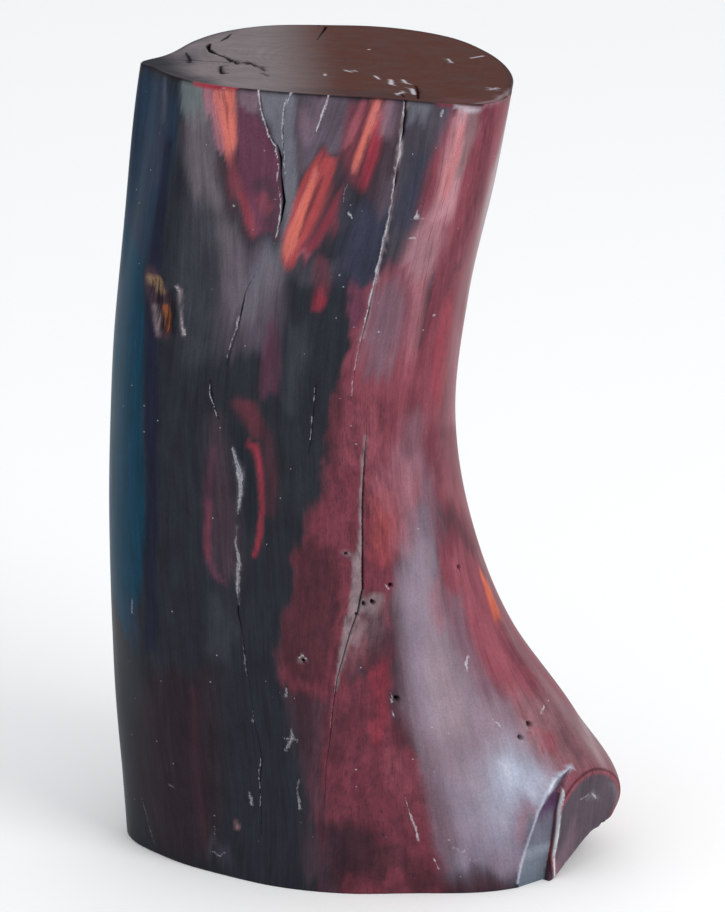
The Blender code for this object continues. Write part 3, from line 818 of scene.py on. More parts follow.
# The upper front: plum and charcoal heartwood, with flames that run down from the rim, and grey and mauve
# patches that are partly painted sheen.
UPPER_FRONT = (
    (MAUVE, 0.9, 6, ((237, 84), (264, 86), (262, 112), (238, 114))),
    (PLUM, 1.0, 4, (
        (239, 108), (262, 114), (271, 140), (279, 150), (279, 180), (282, 205), (277, 232), (264, 238),
        (250, 222), (240, 192), (236, 150),
    )),
    (PLUM_BLACK, 0.7, 5, ((262, 180, 3), (270, 190, 3), (270, 226, 4))),
    (PLUM_BLACK, 0.8, 5, ((222, 164, 2.5), (229, 188, 3.5), (238, 212, 3.5), (248, 234, 3))),
    (STEEL, 0.95, 4, (
        (262, 86), (293, 88), (293, 130), (297, 178), (295, 225), (284, 244), (280, 226), (283, 200),
        (280, 150), (272, 138), (264, 114),
    )),
    (HAZE, 0.95, 7, ((293, 86), (338, 90), (326, 140), (313, 168), (297, 178), (293, 130))),
    (MAUVE, 0.8, 6, ((303, 116, 3.5), (306, 134, 5))),
    (MAUVE, 0.6, 5, ((322, 92, 3), (316, 120, 2.5))),
    (HAZE, 0.9, 7, ((334, 88), (364, 92), (352, 140), (342, 152), (322, 144))),
    (PLUM_BLACK, 0.9, 7, (
        (299, 182), (320, 152), (342, 146), (354, 152), (354, 184), (340, 214), (326, 246), (304, 262),
        (290, 264), (292, 226),
    )),
    (STORM, 0.7, 8, ((300, 262, 5), (316, 272, 7), (330, 268, 6))),
    (DUSTY_ROSE, 0.95, 3, (
        (204, 84), (218, 84), (222, 120), (226, 150), (219, 148), (212, 130), (206, 108),
    )),
    (CORAL, 0.95, 3, (
        (214, 84), (238, 86), (237, 120), (235, 150), (231, 166), (226, 158), (221, 135), (216, 110),
    )),
    (EMBER, 0.35, 3, ((230, 90, 1.5), (229, 128, 1.6), (229, 148, 1.0))),
    (CRIMSON, 0.8, 4, (
        (230, 158, 1.5), (233, 174, 2.5), (241, 194, 3.5), (249, 213, 4.2), (254, 228, 2.5),
    )),
    (BRIGHT_RED, 0.5, 3, ((242, 196, 1.2), (248, 212, 1.8), (252, 224, 1.2))),
    (CRIMSON, 0.6, 4, ((262, 196, 2.5), (268, 212, 3))),
    (FLAME_RED, 0.95, 4, (
        (329, 146), (338, 156), (332, 186), (317, 220), (307, 240), (297, 262), (280, 264), (282, 236),
        (292, 202), (304, 176),
    )),
    (CORAL, 0.85, 3.5, ((318, 172, 1.4), (309, 194, 2.2), (300, 216, 3.0), (292, 238, 3.8), (286, 254, 3))),
    (EMBER, 0.4, 3, ((314, 182, 1), (304, 208, 1.6), (294, 232, 2), (288, 250, 1.6))),
    (DEEP_RED, 0.7, 1.5, ((324, 176, 0.5), (311, 206, 0.9), (300, 232, 0.6))),
    (WINE, 0.95, 4, (
        (344, 188), (339, 222), (320, 248), (306, 258), (299, 250), (312, 232), (326, 210), (335, 192),
    )),
    (BRIGHT_RED, 0.35, 3, ((336, 204, 1.5), (326, 226, 2), (312, 246, 1.6))),
    (WINE, 0.75, 6, (
        (352, 92), (394, 94), (388, 130), (377, 170), (364, 196), (350, 180), (342, 150), (346, 120),
    )),
    (ROSE, 0.9, 2.5, ((365, 92, 1.8), (357, 118, 2.2), (349, 142, 1.6))),
    (CORAL, 0.95, 2.5, (
        (377, 92, 1.8), (372, 116, 2.3), (366, 138, 2.6), (360, 156, 2.4), (355, 172, 1.4),
    )),
    (EMBER, 0.4, 2.5, ((369, 124, 1.2), (363, 146, 1.8), (357, 164, 1.2))),
    (BRIGHT_RED, 0.75, 2.5, ((378, 116, 1.2), (375, 140, 1.8), (370, 162, 2), (363, 186, 1))),
    (DEEP_RED, 0.7, 1.5, ((372, 128, 0.4), (367, 152, 0.8), (361, 178, 0.6))),
    (DUSTY_ROSE, 0.7, 4, ((386, 92, 2.5), (385, 112, 3), (380, 136, 1.5))),
    (PLUM_BLACK, 0.9, 6, (
        (394, 96), (406, 98), (404, 140), (399, 180), (391, 215), (374, 216), (366, 198), (379, 170),
    )),
    (HAZE, 0.5, 5, ((390, 180, 3), (386, 205, 4))),
    (MAUVE, 0.7, 7, ((394, 92, 4), (392, 112, 5), (388, 134, 4))),
    (STORM, 0.5, 7, ((350, 196, 3), (346, 216, 4))),
    (SLATE, 0.9, 13, ((352, 206), (392, 210), (388, 246), (378, 288), (352, 300), (338, 276), (345, 236))),
    (BRIGHT_RED, 0.6, 4, ((320, 288, 1.5), (321, 297, 3.4), (317, 306, 2))),
    (WINE, 0.5, 6, ((322, 262, 3), (324, 284, 4))),
    (ROSE, 0.7, 3, ((302, 252, 1.5), (308, 253, 1.8))),
    (STORM, 0.95, 4, (
        (407, 98), (448, 100), (437, 145), (427, 180), (420, 215), (404, 248), (388, 264), (391, 225),
        (397, 185), (402, 140),
    )),
    (STEEL, 0.75, 6, ((404, 94), (430, 97), (426, 122), (408, 124))),
    (SLATE, 0.7, 6, ((422, 160, 3), (414, 190, 4), (406, 222, 4))),
)
# The upper right: crimson heartwood, with a pink and salmon streak that is mostly painted reflection of the
# window, brightest at the rim, and a painted pink grey sheen towards the outline.
RIGHT_SIDE = (
    (CRIMSON, 1.0, 5, (
        (448, 96), (520, 84), (516, 120), (500, 175), (485, 230), (470, 300), (464, 360), (462, 440),
        (426, 440), (412, 400), (424, 330), (436, 280), (428, 240), (421, 208), (429, 168), (440, 130),
    )),
    (CRIMSON, 0.95, 8, ((394, 350), (432, 350), (436, 440), (436, 500), (394, 500))),
    (HAZE, 0.6, 5, ((446, 106, 2), (441, 126, 3.5), (437, 146, 2))),
    (WINE, 0.6, 6, ((492, 110, 4), (488, 150, 4), (478, 195, 4), (466, 240, 4))),
    (PINK, 0.9, 4, ((449, 98), (474, 98), (468, 122), (451, 124))),
    (PINK, 0.95, 5, ((460, 116, 2.5), (459, 142, 4.2), (454, 170, 4.8), (449, 196, 5.2), (443, 214, 5.5))),
    (SALMON, 0.75, 4, ((459, 128, 1.5), (456, 154, 2.4), (450, 178, 2.6), (445, 200, 2))),
    (DUSTY_ROSE, 0.6, 10, ((438, 216, 6), (430, 238, 9), (421, 260, 10), (413, 286, 8))),
    (PINK, 0.5, 9, ((436, 220, 5), (429, 240, 7), (420, 262, 7), (413, 282, 5))),
    (ROSE, 0.75, 8, ((412, 286, 6), (410, 312, 6.5), (405, 345, 6), (401, 380, 5))),
    (PINK, 0.28, 8, ((418, 272, 4), (412, 304, 5.5), (408, 332, 5), (404, 362, 4))),
    (MAUVE, 0.7, 12, ((398, 274, 3), (389, 304, 8), (383, 340, 8), (378, 372, 5))),
    (DUST, 0.35, 6, ((376, 336, 2), (373, 348, 3))),
    (TAUPE, 0.9, 3.5, ((474, 104, 3), (473, 130, 3), (468, 152, 2.2), (461, 176, 1.2))),
    (DEEP_RED, 0.5, 9, (
        (460, 230, 1.5), (449, 258, 4.2), (444, 285, 3.8), (434, 316, 2.6), (423, 342, 3), (416, 375, 2.5),
        (412, 410, 2),
    )),
    (BRIGHT_RED, 0.45, 8, ((450, 300, 5), (444, 340, 8), (440, 384, 8), (440, 404, 5))),
    (PINK_GREY, 0.78, 24, (
        (512, 70), (526, 70), (513, 165), (504, 205), (495, 245), (486, 280), (476, 330), (469, 400),
        (463, 330), (470, 280), (477, 245), (485, 205), (494, 165), (505, 125),
    )),
    (DUSTY_ROSE, 0.6, 26, ((457, 330), (470, 330), (467, 380), (467, 470), (453, 470), (452, 380))),
)
# The lower front: wine-red heartwood, darker beside the checks and at the foot, with the lower end of the
# painted mauve and pink sheen.
LOWER_FRONT = (
    (CRIMSON, 1.0, 6, (
        (350, 292), (372, 284), (392, 262), (412, 262), (412, 300), (406, 350), (402, 420), (402, 476),
        (324, 476), (335, 414), (342, 376), (352, 344),
    )),
    (WINE, 1.0, 7, (
        (324, 462), (402, 462), (404, 560), (400, 700), (414, 742), (441, 800), (444, 900), (322, 900),
        (317, 830), (308, 780), (302, 735), (294, 706), (287, 688), (279, 672), (281, 648), (287, 620),
        (293, 600), (297, 580), (290, 558), (309, 536), (310, 512), (325, 496),
    )),
    (MAUVE, 0.75, 12, ((398, 274, 3), (389, 304, 8), (383, 340, 8), (378, 372, 5))),
    (PLUM, 0.8, 6, ((358, 294, 5), (354, 318, 4))),
    (DEEP_RED, 0.75, 6, ((345, 376, 2), (340, 410, 4), (334, 446, 4), (334, 480, 3))),
    (ROSE, 0.45, 8, ((368, 420, 4), (374, 450, 6), (378, 480, 6))),
    (DEEP_RED, 0.85, 7, (
        (290, 556), (312, 540), (332, 552), (340, 600), (336, 650), (322, 684), (290, 680), (276, 652),
        (288, 612), (297, 580),
    )),
    (ROSE, 0.85, 8, ((380, 482, 4), (386, 510, 6), (389, 542, 5), (388, 560, 3))),
    (FLAME_RED, 0.6, 9, ((384, 500, 4), (386, 530, 6), (384, 560, 4))),
    (EMBER, 0.1, 9, ((384, 510, 3), (385, 540, 4))),
    (DUSTY_ROSE, 0.4, 9, ((396, 446, 2), (392, 480, 5.5), (391, 508, 3))),
    (CRIMSON, 0.7, 6, ((386, 580, 4), (388, 598, 4))),
    (BRIGHT_RED, 0.35, 5, ((378, 668, 4), (382, 690, 5), (384, 710, 4), (374, 738, 3))),
    (PLUM_BLACK, 0.65, 7, ((374, 614, 4), (380, 640, 6), (372, 658, 4), (352, 676, 4))),
    (DEEP_RED, 0.6, 8, ((356, 700, 3), (344, 716, 4), (338, 750, 5))),
    (MAROON, 0.5, 8, ((334, 838, 7), (340, 858, 7))),
    (CRIMSON, 0.7, 10, ((396, 760, 7), (406, 790, 8), (412, 820, 5))),
    (PLUM_BLACK, 0.75, 7, (
        (284, 692), (332, 700), (328, 730), (324, 770), (324, 830), (310, 800), (296, 745),
    )),
    (MAROON, 0.6, 6, ((292, 692), (312, 690), (316, 740), (308, 770), (298, 740))),
    (MAROON, 0.8, 14, ((322, 822), (350, 820), (380, 838), (392, 862), (366, 880), (334, 900), (314, 888))),
    (PLUM_BLACK, 0.8, 7, ((314, 846, 5), (320, 872, 6), (332, 888, 5))),
    (DEEP_RED, 0.8, 8, ((380, 856, 6), (400, 862, 8), (420, 876, 7))),
    (WINE, 0.9, 4, ((350, 886, 2.5), (378, 888, 3.5), (404, 891, 2.5))),
    (PLUM_BLACK, 0.85, 5, (
        (396, 602, 2.5), (398, 640, 4), (399, 690, 4), (400, 720, 3.5), (411, 746, 2.5),
    )),
    (DEEP_RED, 0.7, 4, ((392, 724), (404, 716), (414, 738), (404, 750), (392, 744))),
)
# A limb once grew low on the front, and the wood that closed over it shows as two red arcs.
HEALED_LIMB = (
    (PLUM_BLACK, 0.75, 12, ((216, 420, 3), (220, 480, 6), (224, 530, 8), (230, 568, 6))),
    (WINE, 0.65, 7, ((238, 404, 2.5), (249, 409, 4), (254, 422, 3.5), (256, 434, 2))),
    (DEEP_RED, 0.6, 7, ((246, 412, 4), (256, 424, 4), (268, 440, 3), (272, 480, 3.5), (270, 512, 2.5))),
    (INK, 0.5, 7, ((232, 430, 3), (244, 452, 3), (252, 490, 3), (252, 530, 2))),
    (PLUM, 0.5, 5, ((214, 448, 1.2), (209, 480, 1.6), (207, 504, 1.6))),
    (PLUM, 0.8, 4, ((209, 500, 1.4), (207, 536, 1.8), (209, 560, 1.8), (216, 576, 1.4), (226, 584, 0.6))),
    (WINE, 0.6, 2, ((209, 506, 0.8), (207, 536, 1.2), (208, 556, 1.2))),
    (BRIGHT_RED, 0.7, 3, (
        (248, 443, 1.0), (255, 448, 1.8), (259, 460, 1.5), (261, 480, 1.1), (262, 504, 0.9),
        (261, 524, 1.1), (258, 544, 1.3), (254, 556, 0.8),
    )),
)
# The flank that swells into the root: crimson under a painted lilac and lavender sheen, a painted blue grey
# reflection beside the split, and a painted pale sheen along the outline.
FLANK = (
    (WINE, 1.0, 8, ((424, 430), (464, 430), (480, 520), (478, 560), (444, 566), (426, 520))),
    (CRIMSON, 1.0, 9, (
        (440, 546), (480, 546), (506, 606), (548, 676), (596, 726), (640, 800), (600, 812), (556, 800),
        (520, 760), (480, 700), (450, 640),
    )),
    (CRIMSON, 0.7, 8, ((434, 440), (468, 440), (478, 500), (448, 500))),
    (MAUVE, 0.55, 14, ((414, 424, 6), (412, 456, 8), (424, 478, 7))),
    (ROSE, 0.5, 8, ((444, 486, 4), (460, 500, 6), (474, 520, 4))),
    (DEEP_RED, 0.7, 6, ((442, 512, 4), (458, 526, 5), (474, 550, 3))),
    (ROSE, 0.6, 9, ((456, 560, 5), (466, 590, 7), (490, 640, 8), (516, 684, 8))),
    (MAUVE, 0.75, 10, ((456, 596, 5), (462, 640, 7), (476, 684, 9), (500, 716, 9))),
    (DUSTY_ROSE, 0.75, 12, ((408, 466, 4), (409, 500, 6), (410, 544, 6))),
    (MAUVE, 0.7, 10, ((428, 490, 5), (432, 520, 6), (430, 550, 5))),
    (STORM, 0.5, 9, ((439, 500, 2), (443, 524, 4), (440, 548, 2))),
    (LAVENDER, 0.6, 14, ((422, 510, 3), (420, 550, 5), (419, 600, 7))),
    (LILAC, 0.95, 15, (
        (410, 548), (426, 542), (438, 590), (452, 640), (476, 690), (506, 724), (530, 748), (540, 800),
        (500, 850), (456, 856), (438, 800), (422, 750), (410, 716), (405, 660), (404, 596),
    )),
    (LAVENDER, 0.5, 12, ((416, 560, 4), (417, 620, 6), (422, 670, 7), (430, 716, 7))),
    (MAUVE, 0.5, 7, ((404, 640, 2), (408, 690, 3), (416, 726, 4), (430, 762, 4))),
    (DUSTY_ROSE, 0.55, 5, ((437, 560, 2), (436, 592, 3.6), (441, 622, 3))),
    (PINK_GREY, 0.25, 9, ((432, 650, 5), (440, 690, 7), (450, 726, 8))),
    (LILAC, 0.5, 9, ((506, 712, 5), (524, 738, 7), (540, 760, 6))),
    (LAVENDER, 0.85, 18, (
        (440, 776), (462, 790), (486, 832), (520, 826), (524, 880), (486, 880), (450, 872), (446, 830),
    )),
    (MAUVE, 0.8, 9, ((430, 770, 4), (437, 800, 5), (446, 840, 6))),
    (BLUE_GREY, 0.62, 26, ((476, 768), (520, 744), (552, 770), (530, 830), (496, 846), (476, 816))),
    (BLUE_GREY, 0.8, 14, ((500, 760), (520, 762), (552, 772), (541, 796), (514, 818), (498, 800))),
    (PALE_BLUE, 0.5, 8, ((504, 766, 3), (520, 786, 5), (534, 790, 4), (546, 780, 2))),
    (PLUM_BLACK, 0.6, 9, ((446, 876, 5), (466, 878, 6), (492, 886, 5))),
    (MAUVE, 0.5, 9, ((500, 866, 5), (516, 868, 5))),
    (LAVENDER, 0.8, 9, ((530, 806, 3), (520, 834, 5), (510, 862, 6))),
    (ROSE, 0.4, 5, ((534, 806, 0.8), (528, 824, 1.4), (523, 844, 1.0))),
    (DEEP_RED, 0.6, 11, ((424, 886, 4), (460, 890, 4), (500, 890, 3))),
    (TAUPE, 0.6, 16, ((512, 694), (540, 690), (580, 716), (612, 762), (580, 768), (552, 764), (530, 736))),
    (DEEP_RED, 0.35, 9, ((556, 716, 2), (566, 738, 4), (578, 752, 4))),
    (TAUPE, 0.7, 10, (
        (480, 556, 1), (492, 592, 2), (510, 632, 3), (534, 668, 4), (560, 704, 6), (582, 734, 7),
    )),
    (PINK_GREY, 0.6, 16, ((562, 690, 1), (580, 718, 3), (594, 748, 4), (602, 764, 2.5))),
    (EMBER, 1.0, 6, ((483, 578, 1.5), (489, 592, 4.5), (496, 610, 4.5), (500, 618, 1.5))),
    (ROSE, 0.6, 4, ((550, 738, 2.5), (550, 746, 2.5))),
    (BRIGHT_RED, 0.3, 2, ((543, 736, 1), (550, 733, 1.4), (557, 740, 1.4), (555, 750, 1.4), (547, 754, 1))),
    (DUSTY_ROSE, 0.8, 2, ((524, 722, 1.2), (529, 718, 1.2), (535, 722, 1.2), (530, 730, 1.2))),
)
# The root: mauve down its side, with grey scars at its sawn edge and a painted highlight in grey on its
# end.
ROOT = (
    (MAUVE, 0.75, 9, ((574, 822, 2), (572, 838, 5), (566, 854, 7), (558, 874, 6))),
    (ASHEN, 0.35, 4, ((586, 800, 1), (592, 794, 2), (598, 798, 1))),
    (ASHEN, 0.4, 4, ((612, 784, 1), (617, 794, 1.5), (616, 806, 1))),
)
# The root's sawn end: a dark line where the saw left the skin, a red rim and a grey face. Each is a colour,
# its strength, and how much wood the saw took off in millimetres where it begins and where it is full.
SAWN_END = ((DEEP_RED, 0.9, 0, 0.15), (ROSE, 0.85, 0.35, 0.8), (END_GREY, 0.95, 1.2, 2.8))
# Wax and sanding dust that have packed into the checks and dried dull.
RESIDUE = (
    (DUST, 0.7, 1.2, (
        (404, 92, 0.6), (403, 118, 0.4), (401, 136, 0.9), (399, 156, 1.2), (397, 166, 0.6), (394, 186, 0.4),
        (391, 210, 0.5), (386, 236, 0.6), (381, 258, 0.6), (376, 280, 0.6), (369, 314, 0.5),
        (363, 338, 0.4),
    )),
    (ASHEN, 0.3, 2.2, (
        (233, 448, 0.5), (237, 462, 1.3), (241, 476, 2.0), (240, 494, 1.7), (238, 512, 0.7),
    )),
    (ASHEN, 0.25, 1.8, (
        (237, 526, 0.3), (236, 546, 0.6), (239, 558, 0.8), (238, 574, 1.3), (238, 604, 0.5),
    )),
    (DUST, 0.8, 1.6, (
        (366, 436, 0.6), (363, 470, 0.8), (361, 500, 0.7), (361, 530, 0.8), (360, 548, 1.4),
        (357, 566, 2.6), (357, 590, 2.9), (355, 608, 3.1), (349, 628, 2.6), (344, 648, 1.9),
        (339, 672, 1.1), (336, 690, 0.5),
    )),
    (DUST, 0.6, 2.5, ((345, 553, 1.2), (352, 556, 1.2))),
    (DUST, 0.22, 10, ((360, 610), (388, 604), (380, 636), (356, 664), (343, 668), (348, 640))),
    (DUST, 0.7, 3, ((358, 608, 2.8), (366, 604, 3.6), (378, 598, 3.0), (372, 612, 2.0))),
    (DUST, 0.4, 4, ((362, 624, 3), (354, 640, 3))),
    (DUST, 0.5, 1.5, ((300, 660, 1.6), (305, 659, 1.2))),
    (DUST, 0.6, 1.2, ((524, 722, 0.9), (527, 728, 0.9))),
    (PINK, 0.6, 2.5, ((236, 824, 0.8), (238, 828, 0.8))),
)
# The lower red wood is clouded with dark: strength, soft edge and marks.
CLOUDED = (
    (0.9, 16, (
        (340, 400), (396, 400), (396, 560), (392, 700), (404, 742), (430, 800), (436, 900), (322, 900),
        (317, 830), (308, 780), (298, 735), (283, 688), (275, 660), (285, 620), (295, 580), (290, 558),
        (310, 530), (325, 490),
    )),
    (0.6, 10, ((480, 560, 5), (510, 640, 8), (550, 710, 8), (590, 770, 8))),
    (0.8, 8, ((486, 110, 5), (478, 200, 6), (452, 290, 6), (444, 400, 7), (440, 470, 7))),
    (0.3, 14, ((180, 700, 8), (190, 760, 12), (190, 830, 8))),
)
# The sides that the photo doesn't show go on in the same woods, by angle and height in millimetres.
HIDDEN = (
    (INDIGO, 0.7, 16, ((150, 460), (176, 460), (180, 300), (172, 120), (152, 130), (146, 300))),
    (PLUM_BLACK, 0.8, 18, ((96, 460), (128, 460), (134, 330), (126, 190), (104, 180), (98, 320))),
    (SLATE, 0.7, 14, ((134, 300, 8), (138, 200, 12), (134, 90, 12), (136, -5, 12))),
    (MAROON, 0.9, 18, ((62, 200), (100, 190), (118, 90), (112, -10), (62, -10))),
    (MAUVE, 0.4, 14, ((110, 430, 4), (114, 380, 8), (112, 330, 6))),
    (WINE, 0.95, 14, ((326, 470), (408, 470), (408, 330), (400, 200), (412, 60), (404, -10), (326, -10))),
    (CRIMSON, 0.6, 14, ((368, 440, 8), (366, 340, 12), (368, 240, 10), (372, 120, 14), (374, 20, 12))),
    (BRIGHT_RED, 0.3, 12, ((384, 420, 5), (380, 350, 8), (383, 280, 6))),
    (PLUM_BLACK, 0.55, 9, ((376, 450, 2), (375, 400, 4), (378, 330, 5), (377, 250, 3))),
    (MAUVE, 0.45, 12, ((386, 200, 4), (388, 140, 8), (386, 80, 6))),
    (PLUM_BLACK, 0.5, 9, ((372, 170, 2), (374, 110, 5), (378, 50, 6), (380, 10, 4))),
    (DEEP_RED, 0.6, 12, ((396, 450, 5), (395, 330, 7), (392, 210, 8), (398, 100, 10))),
    (SALMON, 0.4, 7, ((362, 300, 3), (365, 240, 4), (363, 180, 2))),
    # A little of the painted lilac sheen, carried round onto this side.
    (LILAC, 0.3, 18, ((360, 80, 8), (368, 54, 10), (378, 34, 8))),
    (WINE, 0.8, 6, ((78, 450, 3), (81, 400, 7), (79, 340, 5), (81, 300, 1))),
    (EMBER, 0.75, 4, ((78, 448, 1.5), (80, 400, 3.5), (78, 350, 2.5))),
    (BRIGHT_RED, 0.6, 3, ((86, 430, 1), (86, 390, 2.5), (83, 345, 1.5))),
    (WINE, 0.9, 7, ((116, 300, 2), (114, 240, 6), (117, 170, 8), (112, 110, 5), (115, 80, 1))),
    (ROSE, 0.5, 9, ((152, 420, 1), (149, 360, 4), (153, 300, 3), (150, 250, 1))),
    # The teal, partly painted reflection, carried round the left.
    (TEAL, 0.6, 13, (
        (183, 430, 1), (180, 370, 4), (177, 300, 8), (175, 210, 8), (178, 120, 5), (182, 30, 1),
    )),
    (TEAL, 0.4, 9, ((166, 380, 1), (168, 320, 3), (166, 250, 4), (169, 170, 2))),
)
# Colours laid on the upper face: painted shade along its front edge, nearly black at the left end and
# maroon further right, grey patches near the left end, red along the front rim, a painted pale highlight
# along the right front rim, and a small pale mark near the left end.
TOP_BRUSHES = (
    (STORM, 0.5, 18, ((150, 60, 14), (176, 58, 14), (186, 52, 8))),
    (INK, 0.95, 15, ((126, 52, 10), (142, 57, 16), (160, 65, 12), (178, 74, 7), (204, 82, 4))),
    (MAROON, 0.55, 12, ((300, 90, 2), (340, 92, 4), (380, 95, 4), (420, 97, 3), (440, 99, 2))),
    (STORM, 0.6, 5, ((178, 59, 1), (189, 56, 2.5), (190, 64, 2.5))),
    (STORM, 0.4, 7, ((196, 42, 3), (214, 35, 3), (232, 31, 2))),
    (WINE, 0.6, 6, ((448, 99, 2), (464, 101, 3), (480, 100, 2))),
    (PINK_GREY, 0.6, 3, ((476, 104, 1), (494, 101, 1.4), (506, 95, 1.4), (512, 88, 1.2))),
    (PINK_GREY, 0.8, 4, ((163, 54, 2), (170, 52, 2))),
)
# The knot's pit: dead wood, tan and grey at its top, with a rust core and dark broken fibres.
KNOT_WOOD = (
    (PLUM_BLACK, 0.9, 5, ((150, 276, 5), (160, 300, 7), (164, 330, 5))),
    (TAN, 0.9, 3, ((148, 278, 1.5), (156, 282, 3.4), (160, 292, 2.2))),
    (RUST, 0.85, 3, ((162, 308, 1.4), (165, 318, 2.0), (166, 330, 1.2))),
    (DUST, 0.5, 2.5, ((154, 306, 1), (156, 322, 1.6), (158, 334, 0.8))),
    (INK, 0.85, 3, ((171, 290, 1.2), (174, 310, 1.6), (174, 334, 1.4))),
    (DUST, 0.6, 2, ((177, 287, 0.8), (180, 291, 0.9), (181, 318, 0.6), (183, 334, 1))),
)
# Where the front rim isn't dark: red over the first flame, then red over the salmon streak, with a painted
# highlight in white and dusty rose along the rim to its right.
RIM_REDS_AND_HIGHLIGHTS = (
    (BRIGHT_RED, 0.95, 1.6, ((190, 78), (236, 82), (241, 85), (238, 89), (205, 88), (194, 84))),
    (WINE, 0.9, 2.5, ((436, 99), (456, 100), (456, 107), (438, 107))),
    (BONE, 0.75, 2.5, ((456, 106, 0.8), (468, 109, 1.2), (480, 109, 0.9))),
    (DUSTY_ROSE, 0.8, 2.5, ((484, 105, 1.2), (500, 101, 1.2), (509, 95, 1.2))),
)
# The split's broad wall is bare wood, blue grey low down and purple above, by height in millimetres.
SPLIT_WALL = (
    (0, "#66717d"), (14, "#727885"), (20, "#8c93a0"), (24, "#6f7280"), (36, "#6a6676"), (46, "#533a58"),
    (58, "#4a3042"),
)
# Painted highlights lie on the split's lips in blue grey, pale blue and white, and painted shade is a black
# line along the foot of its wall.
LIPS = (
    (BLUE_GREY, 0.7, 1.8, (
        (571, 768, 0.6), (560, 776, 1.6), (553, 785, 2.2), (547, 795, 1.4), (543, 804, 0.6),
    )),
    (PALE_BLUE, 0.75, 1.0, (
        (571, 767, 0.5), (555, 780, 0.9), (547, 793, 0.9), (538, 813, 0.7), (530, 837, 0.6),
        (522, 862, 0.7), (518, 883, 0.7),
    )),
    (LIP_HIGHLIGHT, 0.6, 1.0, ((556, 780, 0.5), (552, 787, 0.8), (549, 794, 0.5))),
    (HOLLOW_SHADE, 0.8, 1.2, (
        (561, 796, 0.3), (558, 816, 0.5), (554, 840, 0.5), (551, 862, 0.4), (547, 882, 0.3),
    )),
    (LIP_HIGHLIGHT, 0.85, 1.1, (
        (563, 790, 0.4), (561, 810, 0.7), (557.5, 837, 1.0), (554, 857, 0.7), (550.5, 882, 0.4),
    )),
)
# Thin pale lines on the left lips of the checks, dried wax with painted highlight where the lips catch the
# light: strength and marks.
PALE_LINES = (
    (0.75, (
        (403, 101, 0.4), (404, 116, 0.3), (402, 130, 0.35), (400, 140, 0.6), (399, 156, 0.7),
        (396, 168, 0.4), (393, 188, 0.3), (390, 210, 0.4), (384, 238, 0.45), (380, 258, 0.55),
        (375, 280, 0.5), (367, 314, 0.35), (361, 338, 0.3), (355, 364, 0.2), (351, 396, 0.35),
    )),
    (0.8, (
        (259, 90, 0.4), (261, 112, 0.3), (269, 136, 0.35), (276, 147, 0.4), (278, 166, 0.35),
        (277, 182, 0.35), (281, 204, 0.3), (279, 226, 0.4), (274, 246, 0.3),
    )),
    (0.65, ((290, 92, 0.8), (284, 106, 0.55), (282, 130, 0.35), (283, 146, 0.3), (285, 176, 0.25))),
    (0.7, ((329, 95, 0.7), (323, 112, 0.7), (316, 132, 0.4))),
    (0.6, ((239, 312, 0.4), (237, 328, 0.35), (230, 344, 0.35), (227, 358, 0.2))),
    (0.7, ((210, 384, 0.3), (209, 393, 0.4), (214, 406, 0.2), (216, 416, 0.3))),
    (0.5, ((232, 448, 0.5), (236, 460, 1.0), (240, 476, 1.5), (240, 494, 1.3), (238, 514, 0.5))),
    (0.48, ((236, 526, 0.3), (236, 546, 0.6), (239, 558, 0.8), (238, 574, 1.2), (238, 606, 0.5))),
    (0.35, ((277, 232, 0.2), (262, 262, 0.2), (247, 288, 0.3))),
    (0.55, ((243, 638, 0.25), (244, 656, 0.25), (247, 676, 0.25))),
    (0.7, ((261, 758, 0.3), (259, 772, 0.3), (260, 790, 0.25), (260, 806, 0.35))),
    (0.7, ((315, 388, 0.3), (313, 410, 0.25), (310, 440, 0.3))),
    (0.45, ((336, 680, 0.35), (333, 704, 0.3), (330, 728, 0.3))),
    (0.7, ((386, 586, 0.5), (389, 590, 0.5))),
    (0.7, ((392, 694, 0.4), (391, 704, 0.4), (394, 716, 0.3))),
    (0.5, ((518, 741, 0.4), (524, 741, 0.5))),
    (0.8, ((299, 658, 0.35), (303, 655.5, 0.35), (308, 660, 0.25))),
)


def shifted(points, across, along=0):
    """Points of angle and height, moved by millimetres across and along the log."""
    return np.stack([points[:, 0] + across * MM / reach, points[:, 1] + along * MM], 1)


def coverage(edge, marks, points):
    """How much of a brush covers each point, from 0 to 1, with half of it at the brush's own edge."""
    is_patch = not marks[:, 2].any()
    depth = depth_in_patch(points, marks, reach) if is_patch else depth_within(points, marks, reach)
    share = fade_in(depth, edge * MM, AT_EDGE)
    return share * share * (3 - 2 * share) * on_side


def lay(colour, share):
    """Lays a colour over a share of the wood painted so far."""
    wood[:] = wood * (1 - share[:, None]) + linear(colour) * share[:, None]


def lay_brushes(brushes, placed, points):
    """Lays brushes in their order, with their marks placed on the log and seen from the points given."""
    for colour, strength, edge, marks in brushes:
        lay(colour, coverage(edge, placed(marks), points) * strength)


# The edges of the streaks waver as fibres do: long along the log, frayed low on the front, and ragged
# round small things.
drift = shifted(
    skin,
    wavers(fibre_angles, heights, (6, 45, 1, 1.7), (2.2, 20, 2, 0.9)),
    wavers(fibre_angles, heights, (2.8, 90, 3, 4.2), (5, 12, 12, 3)),
)
frayed = shifted(drift, wavers(fibre_angles, heights, (2.5, 7, 10, 1.6), (1.2, 4, 11, 1)))
ragged = shifted(skin, wavers(angles, heights, (0.9, 3, 8, 0.5)))
